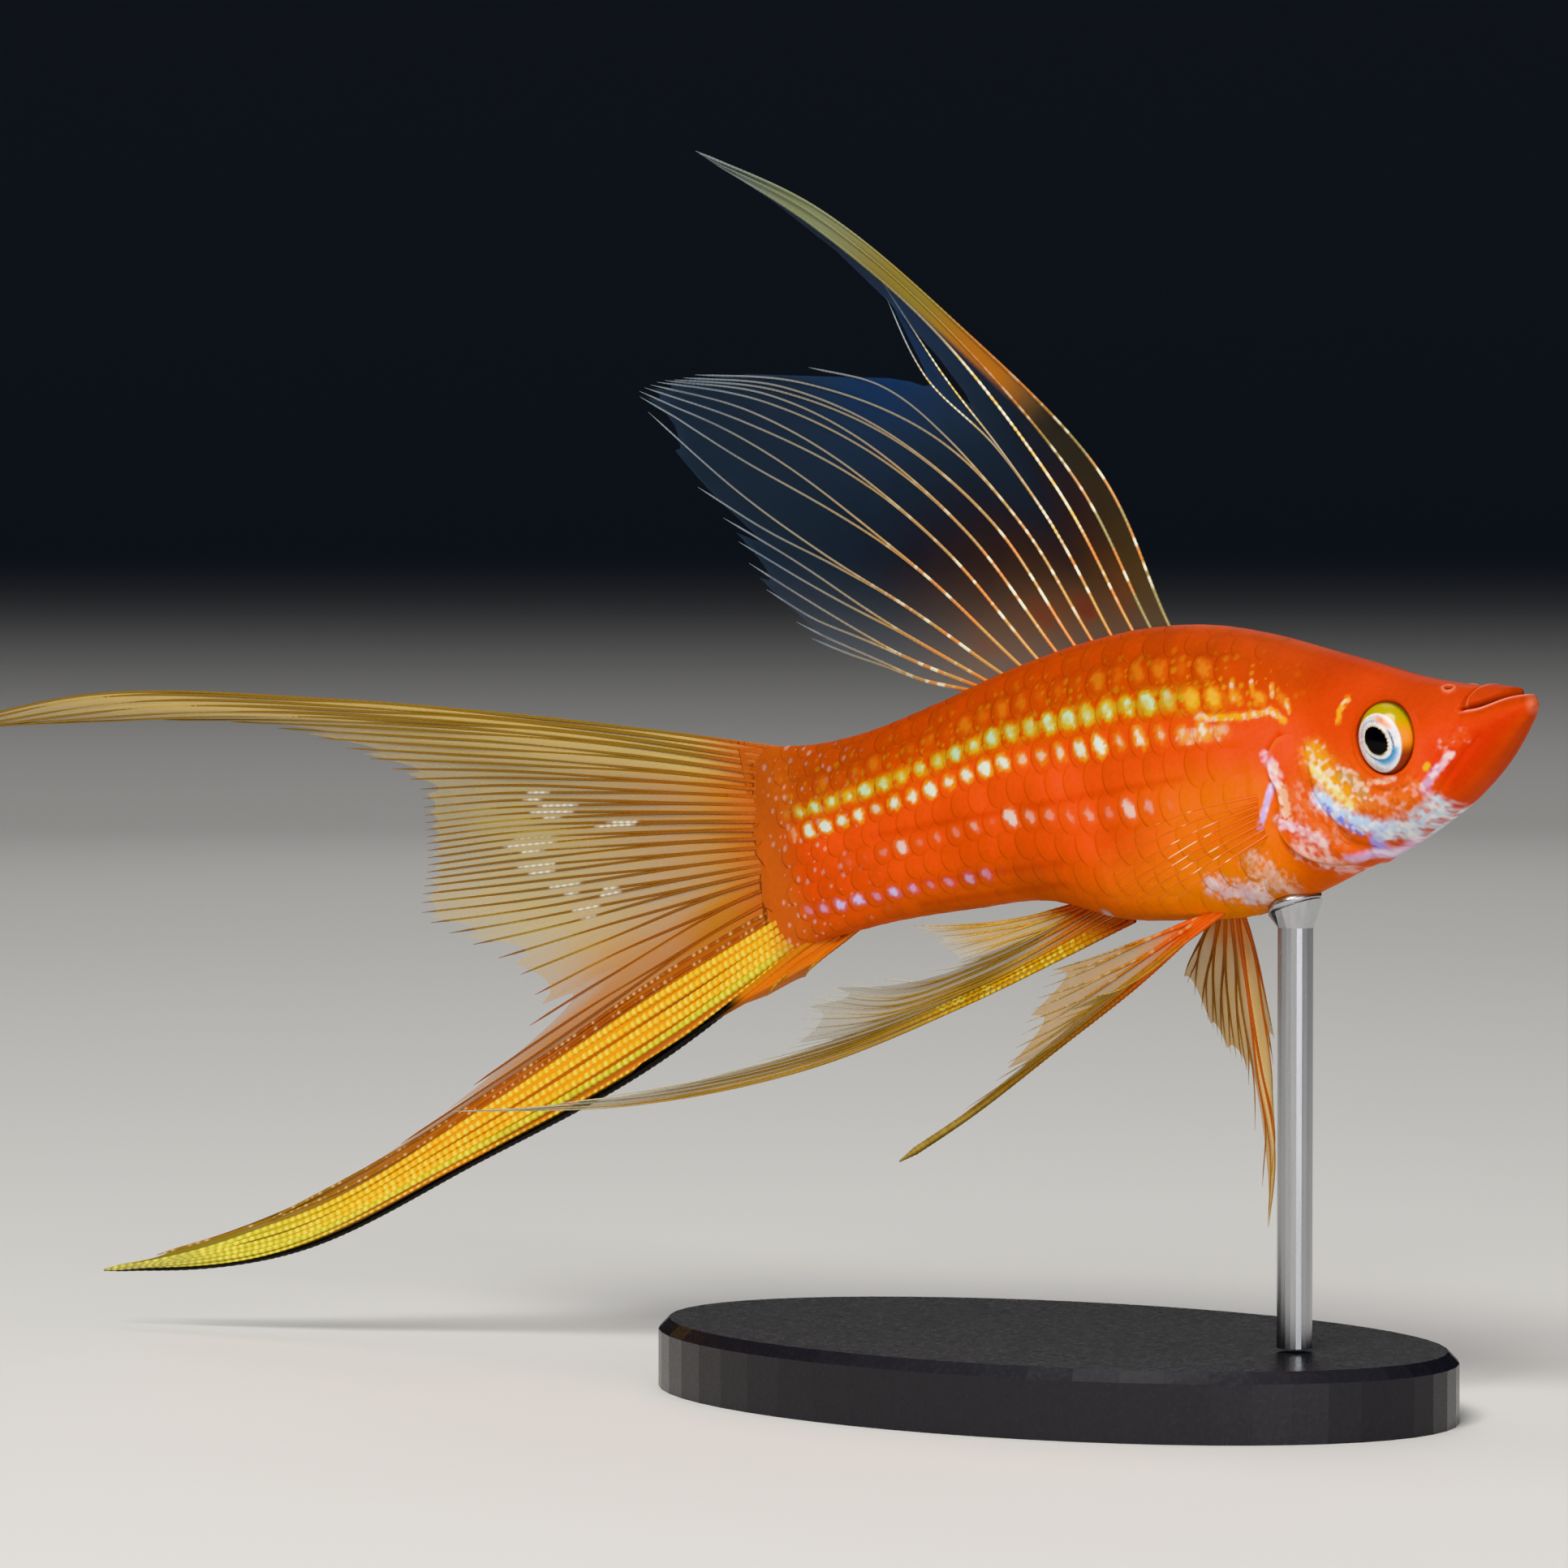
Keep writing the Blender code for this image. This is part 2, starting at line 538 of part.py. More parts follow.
ANAL = Fin(
    [
        (0.000, [(36.2, -10.4), (51.5, -14.2), (67.0, -17.0), (83.5, -17.6), (100.2, -15.9)]),
        (0.125, [(36.9, -10.2), (50.5, -13.6), (64.5, -16.2), (78.5, -17.1), (92.5, -16.6)]),
        (0.250, [(37.5, -10.0), (48.2, -12.8), (59.2, -15.1), (70.2, -16.3), (81.0, -16.8)]),
        (0.375, [(38.1, -9.7), (45.0, -11.8), (52.2, -13.4), (59.4, -14.6), (66.5, -15.1)]),
        (0.500, [(38.8, -9.4), (44.8, -11.3), (51.0, -12.8), (57.8, -13.7), (64.8, -12.4)]),
        (0.625, [(39.5, -9.1), (44.6, -10.6), (50.0, -11.9), (56.0, -12.7), (61.7, -11.3)]),
        (0.750, [(40.1, -8.9), (42.4, -9.6), (44.7, -10.2), (47.1, -10.8), (49.6, -11.3)]),
        (0.875, [(40.8, -8.7), (43.3, -9.1), (45.9, -9.4), (48.5, -9.6), (51.1, -9.6)]),
        (1.000, [(41.5, -8.5), (44.4, -8.7), (47.3, -8.7), (50.3, -8.4), (53.3, -8.0)]),
    ],
    count=9,
    root=below_belly,
    spread=lambda u, t: 0.4 * t * (1 + u) + 2.6 * t * t + 0.3 * t * np.sin(6 * u + 4 * t),
)


def pelvic(side):
    """The right fin lies back along the belly, the left one hangs straight down."""
    if side > 0:
        keys = [
            (0.0, [(26.9, -11.0), (29.4, -12.5), (31.9, -14.1), (34.1, -15.1), (36.1, -15.4)]),
            (0.2, [(27.3, -11.0), (30.0, -12.5), (32.8, -14.1), (35.6, -15.4), (38.4, -16.1)]),
            (0.4, [(27.7, -11.0), (34.0, -14.8), (41.0, -18.3), (48.6, -22.0), (55.9, -25.0)]),
            (0.6, [(28.1, -11.0), (32.2, -13.5), (36.4, -15.8), (40.8, -17.9), (45.1, -19.6)]),
            (0.8, [(28.5, -11.0), (31.9, -12.6), (35.4, -14.0), (38.9, -15.2), (42.3, -16.0)]),
            (1.0, [(29.0, -11.0), (31.6, -11.6), (34.2, -12.1), (36.9, -12.6), (39.6, -13.0)]),
        ]
        reach_out = 4.2
    else:
        keys = [
            (0.0, [(27.2, -11.0), (27.3, -13.2), (27.6, -15.6), (28.0, -17.8), (28.4, -20.0)]),
            (0.2, [(27.7, -11.0), (28.3, -16.8), (28.9, -22.6), (29.3, -28.4), (31.3, -33.9)]),
            (0.4, [(28.2, -11.0), (28.9, -14.0), (29.7, -17.0), (30.3, -19.8), (31.0, -22.3)]),
            (0.6, [(28.7, -11.0), (29.8, -13.6), (30.8, -16.0), (31.6, -18.3), (32.3, -20.4)]),
            (0.8, [(29.3, -11.0), (30.6, -12.9), (31.8, -14.8), (32.7, -16.7), (33.4, -18.4)]),
            (1.0, [(30.0, -11.0), (31.3, -11.9), (32.7, -12.8), (34.0, -13.7), (35.1, -14.6)]),
        ]
        reach_out = 3.6
    return Fin(
        keys,
        count=6,
        root=below_belly,
        spread=lambda u, t: side * (1.9 + reach_out * t * (1 - 0.15 * u)),
    )


def pectoral(side):
    """A clear fan behind the gill cover, spread back and a little out."""
    def out(u, t):
        root = skin_w(21.0, -3.4 - 3.2 * u) + GAP + RAY_ROOT
        return side * (root + 4.6 * t - 1.0 * t * t)

    return Fin(
        [
            (0.0, [(20.8, -3.4), (23.6, -3.6), (26.4, -4.1), (29.2, -4.9), (31.8, -6.0)]),
            (0.5, [(21.0, -4.9), (23.7, -5.8), (26.3, -6.9), (28.9, -8.1), (31.2, -9.4)]),
            (1.0, [(20.8, -6.5), (22.4, -7.5), (23.9, -8.6), (25.2, -9.8), (26.2, -11.0)]),
        ],
        count=8,
        spread=out,
    )


def build_fins():
    amber = material("dorsal_fin", (0.80, 0.36, 0.10), 0.4)
    olive = material("caudal_upper", (0.50, 0.38, 0.12), 0.4)
    tan = material("caudal_middle", (0.58, 0.40, 0.20), 0.4)
    sword = material("sword", (0.90, 0.52, 0.02), 0.4)
    gold = material("anal_fin", (0.72, 0.46, 0.14), 0.4)
    brown = material("pelvic_fin", (0.62, 0.27, 0.09), 0.4)
    clear = material("pectoral_fin", (0.82, 0.55, 0.38), 0.4)
    build_fin("dorsal_streamer", DORSAL, amber, FIN_STEP, last=6)
    build_fin("dorsal_sail", DORSAL, amber, FIN_STEP, first=7)
    build_fin("caudal_fin_upper", CAUDAL, olive, FIN_STEP, last=4)
    build_fin("caudal_fin_middle", CAUDAL, tan, FIN_STEP, first=5, last=14)
    build_fin("caudal_fin_lower", CAUDAL, sword, FIN_STEP, first=15)
    build_fin("anal_fin", ANAL, gold, FIN_STEP)
    for side, word in ((1, "right"), (-1, "left")):
        build_fin("pelvic_fin_" + word, pelvic(side), brown, SMALL_FIN_STEP)
        build_fin("pectoral_fin_" + word, pectoral(side), clear, SMALL_FIN_STEP)


def turned(name, levels, sides, finish, slope=0.0):
    """A closed upright solid from its levels: height, centre (x, y) and half widths (x, y).

    slope tilts its top, as rise for each millimetre along x.
    """
    turn = np.arange(sides) * 2 * math.pi / sides
    rings = []
    for z, centre, half in levels:
        x, y = centre[0] + half[0] * np.cos(turn), centre[1] + half[1] * np.sin(turn)
        rings.append(np.column_stack([x, y, np.full(sides, z)]) * MM)
    rings[-1][:, 2] += slope * (rings[-1][:, 0] - centre[0] * MM)
    points, faces = loft(rings)
    return add_mesh(name, points, faces, finish)


def build_stand():
    black = material("stand_base", (0.03, 0.03, 0.035), 0.35)
    steel = material("stand_rod", (0.55, 0.56, 0.58), 0.25, 1.0)
    half = np.array([BASE_LENGTH, BASE_WIDTH]) / 2
    middle = (0.0, 0.0)
    base_levels = [
        (0.0, middle, half),
        (BASE_HEIGHT - BASE_BEVEL, middle, half),
        (BASE_HEIGHT, middle, half - BASE_BEVEL),
    ]
    turned("stand_base", base_levels, 56, black)
    fore, belly, aft = (place(s, skin_h(s, 0.0, False), 0.0) / MM for s in (ROD_S - 1, ROD_S, ROD_S + 1))
    slope = (fore[2] - aft[2]) / (fore[0] - aft[0])
    top = belly[2] - GAP
    rod_levels = [
        (BASE_HEIGHT + GAP, belly, (ROD_RADIUS,) * 2),
        (top - PAD_HEIGHT, belly, (ROD_RADIUS,) * 2),
        (top, belly, (PAD_RADIUS,) * 2),
    ]
    turned("stand_rod", rod_levels, 20, steel, slope)


def main():
    for old in list(bpy.data.objects):
        bpy.data.objects.remove(old)
    flesh = material("flesh", (0.72, 0.13, 0.01), 0.35)
    iris = material("eye", (0.70, 0.66, 0.52), 0.15)
    cover_finish = material("gill_cover", (0.74, 0.22, 0.03), 0.3)
    build_body(flesh, iris, cover_finish)
    build_fins()
    build_stand()


main()
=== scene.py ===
import itertools
import math

import bpy
import numpy as np
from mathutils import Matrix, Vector


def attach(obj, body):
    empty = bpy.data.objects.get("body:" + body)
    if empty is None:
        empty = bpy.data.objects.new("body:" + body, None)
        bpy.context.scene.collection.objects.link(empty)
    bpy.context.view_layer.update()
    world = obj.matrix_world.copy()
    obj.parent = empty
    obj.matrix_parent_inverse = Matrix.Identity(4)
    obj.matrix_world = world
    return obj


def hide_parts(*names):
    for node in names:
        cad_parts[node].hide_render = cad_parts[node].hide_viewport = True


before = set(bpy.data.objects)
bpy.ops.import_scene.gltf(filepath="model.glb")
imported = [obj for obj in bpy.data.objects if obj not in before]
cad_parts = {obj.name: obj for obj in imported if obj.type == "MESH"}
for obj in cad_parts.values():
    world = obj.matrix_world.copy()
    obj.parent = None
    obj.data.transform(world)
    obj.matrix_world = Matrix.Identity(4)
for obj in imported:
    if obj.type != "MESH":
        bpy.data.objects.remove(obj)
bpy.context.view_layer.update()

# A place on the fish is (s, h, w) in millimetres, as in the part's source: s back from the snout,
# h up from the level of the mouth, w out to the fish's right.
MM = 0.001
STANDARD_LENGTH = 65.0
PITCH = math.radians(9.8)
SNOUT_X, SNOUT_Z = 40.0, 51.0
BEND_START, BEND_AT_ROOT, BEND_SLOPE, BEND_RETURN = 22.0, 2.5, 0.087, 0.0025

# Body sections: distance back, top, bottom, half width, height of the widest line. The last two draw
# the flesh out over the foot of the tail fin.
BODY = np.array([
    (0.0, 0.10, -0.35, 0.45, -0.15), (0.3, 0.45, -0.80, 0.85, -0.20), (1.2, 0.90, -1.80, 1.65, -0.40),
    (3.0, 1.50, -3.65, 2.60, -0.85), (6.0, 2.35, -5.85, 3.60, -1.30), (9.0, 3.35, -7.35, 4.30, -1.50),
    (12.0, 4.65, -8.50, 4.75, -1.50), (16.0, 6.35, -9.50, 5.15, -1.20), (20.5, 8.20, -10.70, 5.40, -0.80),
    (25.0, 9.55, -11.35, 5.45, -0.40), (30.0, 10.20, -10.95, 5.25, 0.00), (36.0, 10.10, -10.05, 4.75, 0.10),
    (42.0, 9.40, -7.95, 4.15, 0.20), (50.0, 7.90, -7.45, 3.40, 0.10), (58.0, 6.80, -7.40, 2.70, -0.10),
    (63.0, 6.80, -7.75, 1.95, -0.20), (65.4, 7.10, -7.90, 1.30, -0.20), (67.6, 7.40, -8.50, 0.70, -0.20),
    (69.6, 7.70, -8.90, 0.34, -0.20),
])
BODY_END = BODY[-1, 0]
SECTION_ROUNDNESS, CROWN_ROUNDNESS, CROWN_END = 2.25, 2.7, 16.0
SKIN_INSET = 0.06  # the skin lies this far inside the solids, so the scales on it stay inside the box

EYE_S, EYE_H, EYEBALL, EYE_WIDTH, EYE_DEPTH, EYE_INSET, EYE_LEAN = 9.75, -0.9, 2.5, 2.05, 1.3, 0.5, 0.15
# Half width and height of the iris and of the pupil, and how far the pupil leans
IRIS, PUPIL, PUPIL_LEAN = (1.74, 2.10), (0.78, 1.06), math.radians(24)
NOSTRIL_S, NOSTRIL_W = 5.6, 1.9
LIP_REAR = [(4.15, 0.30), (4.15, 0.70), (4.02, 1.10), (3.70, 1.50), (3.40, 2.00)]
PREOPERCLE = [
    (16.0, -0.4), (16.0, -2.2), (15.9, -3.7), (15.4, -5.2), (14.8, -6.3), (14.2, -7.6), (12.9, -8.3),
]
COVER_REAR = [
    (17.6, 0.4), (18.5, -0.5), (18.8, -1.8), (18.4, -3.2), (18.5, -4.5), (18.95, -5.8), (18.5, -7.2),
    (17.3, -8.3), (15.6, -8.8), (13.9, -8.7), (12.9, -8.3),
]

ROD_S, ROD_GAP, ROD_TOP_RADIUS, ROD_TOP_SINKS = 21.5, 0.3, 1.9, 0.15
STEEL = (0.55, 0.56, 0.58)

# Scales: a lattice of rows round the body and columns along it
SCALE_STEP, SCALE_START, SCALE_END = 1.85, 18.15, 65.8
FIRST_ROW, ROW_STEP, ROW_FAN = 0.04, 0.095, 0.03
FAN_MIDDLE, FAN_REACH, FAN_LIMIT = 42, 18, 1.2
SCALE_ROWS = 11
SCALE_LENGTH, SCALE_HALF = 2.7, 0.62
ROOT_TO_MIDDLE = 0.62  # in scale lengths
SCALE_LIFT, SCALE_SUNK, SCALE_RIM = 0.010, 0.028, 0.030

UV_LENGTH = 72.0  # the length that the body's texture covers


def hermite(t, step, start, end, start_slope, end_slope):
    """A cubic curve from start to end with these slopes, read t of the way along a step."""
    return (
        (1 + 2 * t) * (1 - t) ** 2 * start
        + t * (1 - t) ** 2 * step * start_slope
        + t * t * (3 - 2 * t) * end
        + t * t * (t - 1) * step * end_slope
    )


def smooth(stations, values, at):
    """A smooth curve through the values at these stations, read at one or more places."""
    stations, values = np.asarray(stations, float), np.asarray(values, float)
    at = np.clip(at, stations[0], stations[-1])
    slopes = np.gradient(values, stations, axis=0)
    i = np.clip(np.searchsorted(stations, at, side="right") - 1, 0, len(stations) - 2)
    step = stations[i + 1] - stations[i]
    t = (at - stations[i]) / step
    if values.ndim == 2:
        step, t = step[..., None], t[..., None]
    return hermite(t, step, values[i], values[i + 1], slopes[i], slopes[i + 1])


def ease(low, high, value):
    """0 below low, 1 above high and a soft step between. low may be the greater."""
    share = np.clip((value - low) / (high - low), 0, 1)
    return share * share * (3 - 2 * share)


def peak(value, middle, width):
    """1 at the middle, falling to 0 about two widths away."""
    return np.exp(-(((value - middle) / width) ** 2))


def bend(s):
    along = np.maximum(0.0, s - BEND_START) / (STANDARD_LENGTH - BEND_START)
    past = np.maximum(0.0, s - STANDARD_LENGTH)
    tail = BEND_AT_ROOT + BEND_SLOPE * past - BEND_RETURN * past**2
    return np.where(s < STANDARD_LENGTH, BEND_AT_ROOT * along**1.5, tail)


def place(s, h, w):
    """Points in millimetres from places on the fish."""
    s, h, w = np.broadcast_arrays(*(np.asarray(v, float) for v in (s, h, w)))
    x = SNOUT_X - s * math.cos(PITCH) - h * math.sin(PITCH)
    z = SNOUT_Z - s * math.sin(PITCH) + h * math.cos(PITCH)
    return np.stack([x, bend(s) - w, z], axis=-1)


def unit(vectors):
    return vectors / np.linalg.norm(vectors, axis=-1, keepdims=True)


def round_angles(count):
    return np.arange(count) * 2 * math.pi / count


def section(s):
    return np.moveaxis(smooth(BODY[:, 0], BODY[:, 1:], np.asarray(s, float)), -1, 0)


def roundness(s, upper):
    crown = np.clip((CROWN_END - s) / CROWN_END, 0, 1)
    return SECTION_ROUNDNESS + np.where(upper, (CROWN_ROUNDNESS - SECTION_ROUNDNESS) * crown, 0.0)


def skin_w(s, h):
    top, bottom, half, widest = section(s)
    power = roundness(s, h > widest)
    return half * np.maximum(0.0, 1 - np.abs(level(s, h)) ** power) ** (1 / power)


def level(s, h):
    """Height from the widest line as a share of the way out: 1 on the back's edge, -1 on the belly's."""
    top, bottom, half, widest = section(s)
    return (h - widest) / np.where(h > widest, top - widest, widest - bottom)


def belly_h(s, w):
    top, bottom, half, widest = section(s)
    drop = np.maximum(0.0, 1 - np.abs(w / half) ** SECTION_ROUNDNESS) ** (1 / SECTION_ROUNDNESS)
    return widest + drop * (bottom - widest)


def from_eye(s, h):
    """Distance from the eye's middle, stretched lengthways so that the narrow eye's rim is a circle."""
    return np.hypot((s - EYE_S) * EYEBALL / EYE_WIDTH, h - EYE_H)


def from_nostril(s, h):
    """Distance from the nearer nostril. Places below the top of the head count as far away."""
    return np.hypot(s - NOSTRIL_S, skin_w(s, h) - NOSTRIL_W) + 9 * (level(s, h) < 0.3)


def at_angle(s, angle):
    """Height and half width of the body at an angle from its widest line."""
    top, bottom, half, widest = section(s)
    upper = angle > 0
    power = roundness(s, upper)
    c, d = np.abs(np.cos(angle)), np.sin(angle)
    size = (c**power + np.abs(d) ** power) ** (-1 / power)
    return widest + np.where(upper, top - widest, widest - bottom) * d * size, half * c * size


# The angle for each share of the way from the back round to the belly, by length along the skin
STATIONS = np.linspace(0, BODY_END, 281)
SHARES = np.linspace(0, 1, 201)
ANGLES = np.empty((len(STATIONS), len(SHARES)))
for row, station in enumerate(STATIONS):
    fan = np.linspace(math.pi / 2, -math.pi / 2, 721)
    line = np.stack(at_angle(np.full(721, station), fan))
    length = np.append(0, np.cumsum(np.linalg.norm(np.diff(line, axis=1), axis=0)))
    ANGLES[row] = np.interp(SHARES, length / length[-1], fan)


def on_skin(s, share):
    """Height and half width of the body at this share of the way from back to belly."""
    i = np.clip(s / STATIONS[1], 0, len(STATIONS) - 1.001)
    j = np.clip(share, 0, 1) * (len(SHARES) - 1.001)
    a, b = i.astype(int), j.astype(int)
    f, g = i - a, j - b
    angle = (ANGLES[a, b] * (1 - f) + ANGLES[a + 1, b] * f) * (1 - g)
    angle += (ANGLES[a, b + 1] * (1 - f) + ANGLES[a + 1, b + 1] * f) * g
    return at_angle(s, angle)


def body_place(s, turn):
    """Places on the skin. turn runs from 0 on the back down the right side to 0.5 and up the left to 1."""
    turn = np.mod(turn, 1.0)
    h, w = on_skin(s, np.where(turn < 0.5, 2 * turn, 2 - 2 * turn))
    return s, h, np.where(turn < 0.5, w, -w)


def body_surface(s, turn):
    """Places on the skin and the outward directions there."""
    s, turn = np.broadcast_arrays(np.asarray(s, float), np.asarray(turn, float))
    near = np.clip(s, 0.02, BODY_END - 0.02)
    back = place(*body_place(near + 0.02, turn)) - place(*body_place(near - 0.02, turn))
    down = place(*body_place(near, turn + 0.003)) - place(*body_place(near, turn - 0.003))
    return body_place(s, turn), unit(np.cross(back, down))


NOISE_CELLS = 32
NOISE = np.random.default_rng(7).random((NOISE_CELLS,) * 3)
# The noise's own axes stand askew, so its spots never line up with the body
ASKEW = np.linalg.qr([[3.0, 1.0, -2.0], [-1.0, 3.0, 1.0], [2.0, -1.0, 3.0]])[0]


def noise(points, size):
    """Smooth noise from 0 to 1, with spots about this many millimetres across."""
    p = np.asarray(points) @ ASKEW / size
    cell = np.floor(p).astype(int)
    f = p - cell
    f = f * f * (3 - 2 * f)
    total = 0.0
    for corner in np.ndindex(2, 2, 2):
        weight = np.prod(np.where(corner, f, 1 - f), axis=-1)
        i, j, k = np.moveaxis((cell + corner) % NOISE_CELLS, -1, 0)
        total = total + weight * NOISE[i, j, k]
    return total


def dots(s, h, pitch, size):
    """1 on round dots, one to each square of a grid, each with a place and size of its own."""
    i, j = np.floor(s / pitch).astype(int), np.floor(h / pitch).astype(int)
    right, up, large = (NOISE[i % NOISE_CELLS, j % NOISE_CELLS, k] for k in range(3))
    away = np.hypot(s / pitch - i - 0.25 - 0.5 * right, h / pitch - j - 0.25 - 0.5 * up)
    return ease(1.0, 0.5, away * pitch / (size * (0.01 + large**2)))


def rgb(colour):
    """Blender's own scale for a colour given as the screen shows it, 0 to 255. Arrays are in it already."""
    if isinstance(colour, np.ndarray):
        return colour
    c = np.array(colour) / 255
    return np.where(c > 0.04045, ((c + 0.055) / 1.055) ** 2.4, c / 12.92)


def mix(colour, *coats):
    """The colour with coats laid over it in turn, each given as its colour and then its share."""
    colour = rgb(colour)
    for tint, share in zip(coats[::2], coats[1::2]):
        share = np.asarray(share)[..., None]
        colour = colour * (1 - share) + rgb(tint) * share
    return colour


WHITE = (255, 252, 246)
BLACK_EDGE = (10, 9, 12)
TAIL_ROOT = (206, 104, 46)


def darken(colour, share):
    return mix(colour, colour * 0.6, share)


def stroke(s, h, points, width):
    """1 on a line through the places, falling to 0 about two widths away."""
    nearest = np.full(np.shape(s), 1e9)
    for (s0, h0), (s1, h1) in zip(points[:-1], points[1:]):
        run = (s1 - s0) ** 2 + (h1 - h0) ** 2
        t = np.clip(((s - s0) * (s1 - s0) + (h - h0) * (h1 - h0)) / max(run, 1e-9), 0, 1)
        nearest = np.minimum(nearest, np.hypot(s - s0 - t * (s1 - s0), h - h0 - t * (h1 - h0)))
    return peak(nearest, 0, width)


# Markings of the head and breast: places (s, h) along each, width, colour, strength, how broken up
MARKS = [
    ([(15.2, -1.2), (14.4, -3.0), (13.4, -4.6)], 1.15, (255, 178, 30), 0.95, 0.35),
    ([(15.3, -2.2), (14.2, -3.7), (13.2, -5.0)], 0.42, (255, 240, 170), 0.9, 0.6),
    ([(13.3, -2.8), (12.3, -3.5), (12.0, -4.6)], 0.55, (190, 165, 105), 0.7, 0.6),
    ([(11.4, -3.7), (10.5, -3.8), (9.6, -3.7)], 0.26, (255, 205, 170), 0.7, 0.8),
    ([(12.2, -5.0), (10.8, -5.3), (9.4, -5.2), (8.5, -4.6)], 0.8, (250, 150, 80), 0.45, 0.9),
    ([(15.4, -4.2), (14.2, -5.5), (12.8, -6.4), (11.5, -7.1)], 0.75, (206, 228, 255), 1.0, 0.5),
    ([(15.1, -4.9), (14.2, -6.0), (13.3, -7.0)], 0.32, (128, 140, 236), 0.9, 0.8),
    ([(11.7, -6.9), (12.6, -7.8), (12.9, -8.6)], 0.5, (186, 180, 255), 0.95, 0.2),
    ([(15.0, -8.4), (13.1, -8.6), (11.6, -8.6), (10.4, -8.1)], 0.34, (236, 200, 244), 0.9, 0.3),
    ([(11.7, -7.2), (10.4, -7.2), (9.2, -6.9), (8.2, -6.5), (7.5, -6.0)], 0.85, (214, 230, 244), 0.95, 0.6),
    ([(5.4, -2.7), (6.6, -3.7), (7.6, -4.5)], 0.3, (240, 215, 225), 0.85, 0.4),
    ([(6.6, -3.5), (7.9, -4.9)], 0.36, (205, 150, 200), 0.6, 0.6),
    ([(7.1, -3.2), (7.3, -3.4)], 0.24, (250, 205, 30), 0.9, 0.0),
    ([(4.4, -1.6), (5.6, -2.0)], 0.6, (235, 110, 60), 0.5, 0.6),
    ([(13.1, 0.8), (12.9, 1.6), (12.4, 2.3)], 0.26, (250, 190, 30), 0.8, 0.8),
    ([(18.9, -0.8), (18.4, -1.5), (18.2, -2.6)], 0.55, (250, 206, 234), 0.95, 0.6),
    ([(18.2, -1.6), (17.9, -3.4), (18.0, -5.3)], 0.4, (255, 222, 190), 0.8, 0.8),
    ([(18.9, -2.8), (19.7, -4.3), (20.5, -5.5)], 0.3, (215, 200, 255), 0.95, 0.2),
    ([(18.9, -5.3), (17.4, -6.0), (16.1, -7.1)], 0.5, (244, 200, 220), 0.85, 0.8),
    ([(17.2, -3.8), (16.6, -5.6), (15.0, -7.4)], 1.1, (250, 160, 110), 0.3, 0.9),
    ([(17.8, -7.6), (17.0, -8.3), (16.0, -8.9)], 0.85, (250, 196, 190), 0.75, 1.0),
    ([(25.7, -9.0), (24.3, -9.6), (22.9, -10.0)], 0.9, (255, 214, 214), 0.95, 1.0),
    ([(21.7, -8.0), (20.7, -9.5)], 1.1, (255, 200, 170), 0.75, 1.0),
    ([(24.2, 2.9), (21.9, 2.5), (19.9, 2.3), (18.2, 2.4), (17.2, 1.5)], 0.28, (255, 190, 35), 0.9, 0.6),
    ([(25.5, 1.6), (22.5, 1.5)], 0.55, (255, 205, 130), 0.6, 0.85),
    ([(21.3, 5.0), (21.2, 3.6)], 0.22, (235, 165, 55), 0.8, 0.4),
    ([(19.8, 4.7), (19.6, 3.7)], 0.2, (235, 165, 55), 0.8, 0.4),
    ([(18.2, 4.2), (18.1, 3.4)], 0.2, (235, 165, 55), 0.8, 0.4),
    ([(17.0, 2.9), (16.8, 2.1)], 0.2, (245, 175, 55), 0.8, 0.4),
    ([(37.2, -9.9), (36.7, -9.6)], 0.5, (255, 225, 225), 0.9, 0.3),
]

# Folds of the head: places (s, h) along each, width, and how far it stands out or, below 0, sinks in
FOLDS = [
    (LIP_REAR, 0.15, -0.20),
    ([(4.3, 0.1), (4.8, -1.2), (5.7, -2.3)], 0.18, -0.12),
    ([(3.4, -1.9), (5.6, -3.9), (7.6, -5.7), (9.4, -6.6)], 0.2, -0.10),
    ([*PREOPERCLE, (11.5, -7.9), (9.6, -7.0)], 0.2, -0.18),
    ([(p + 0.25, q) for p, q in COVER_REAR[:8]], 0.35, -0.25),
    ([(20.2, -1.0), (20.4, -3.5), (20.9, -6.2)], 0.5, 0.10),
]

# Rows of pearly scales: row, first and last s, colour of the middle and of the rim, strength, evenness
PEARLS = [
    (3, 25.0, 66.0, (216, 240, 206), (216, 178, 50), 1.0, 0.85),
    (3, 16.0, 27.0, (255, 205, 90), (236, 150, 36), 0.7, 0.35),
    (4, 20.5, 66.0, (240, 246, 230), (240, 160, 50), 1.0, 0.35),
    (6, 26.0, 60.0, (240, 214, 206), (240, 120, 70), 0.75, 0.12),
    (8, 44.0, 66.0, (222, 206, 246), (225, 120, 120), 0.9, 0.35),
    (2, 20.0, 64.0, (228, 140, 56), (214, 100, 34), 0.4, 0.1),
]
PEARL_HALF_LENGTH, PEARL_HALF_HEIGHT = 0.68, 0.80
SKIN_HALF_ROUND = 24  # about the length of skin from back to belly


def fan_out(s, share):
    """How far the rows shift towards the belly on the way back to the tail."""
    return ROW_FAN * np.clip((s - FAN_MIDDLE) / FAN_REACH, -FAN_LIMIT, FAN_LIMIT) * np.sin(math.pi * share)


def row_at(s, share):
    """Which row of scales this place falls in. Whole numbers are the middles of rows."""
    return (share - fan_out(s, share) - FIRST_ROW) / ROW_STEP


def share_at(s, row):
    share = FIRST_ROW + ROW_STEP * row
    return share + fan_out(s, np.clip(share, 0, 1))


def mouth_line(s):
    return 0.80 - 0.50 * ease(0.8, 3.5, s)


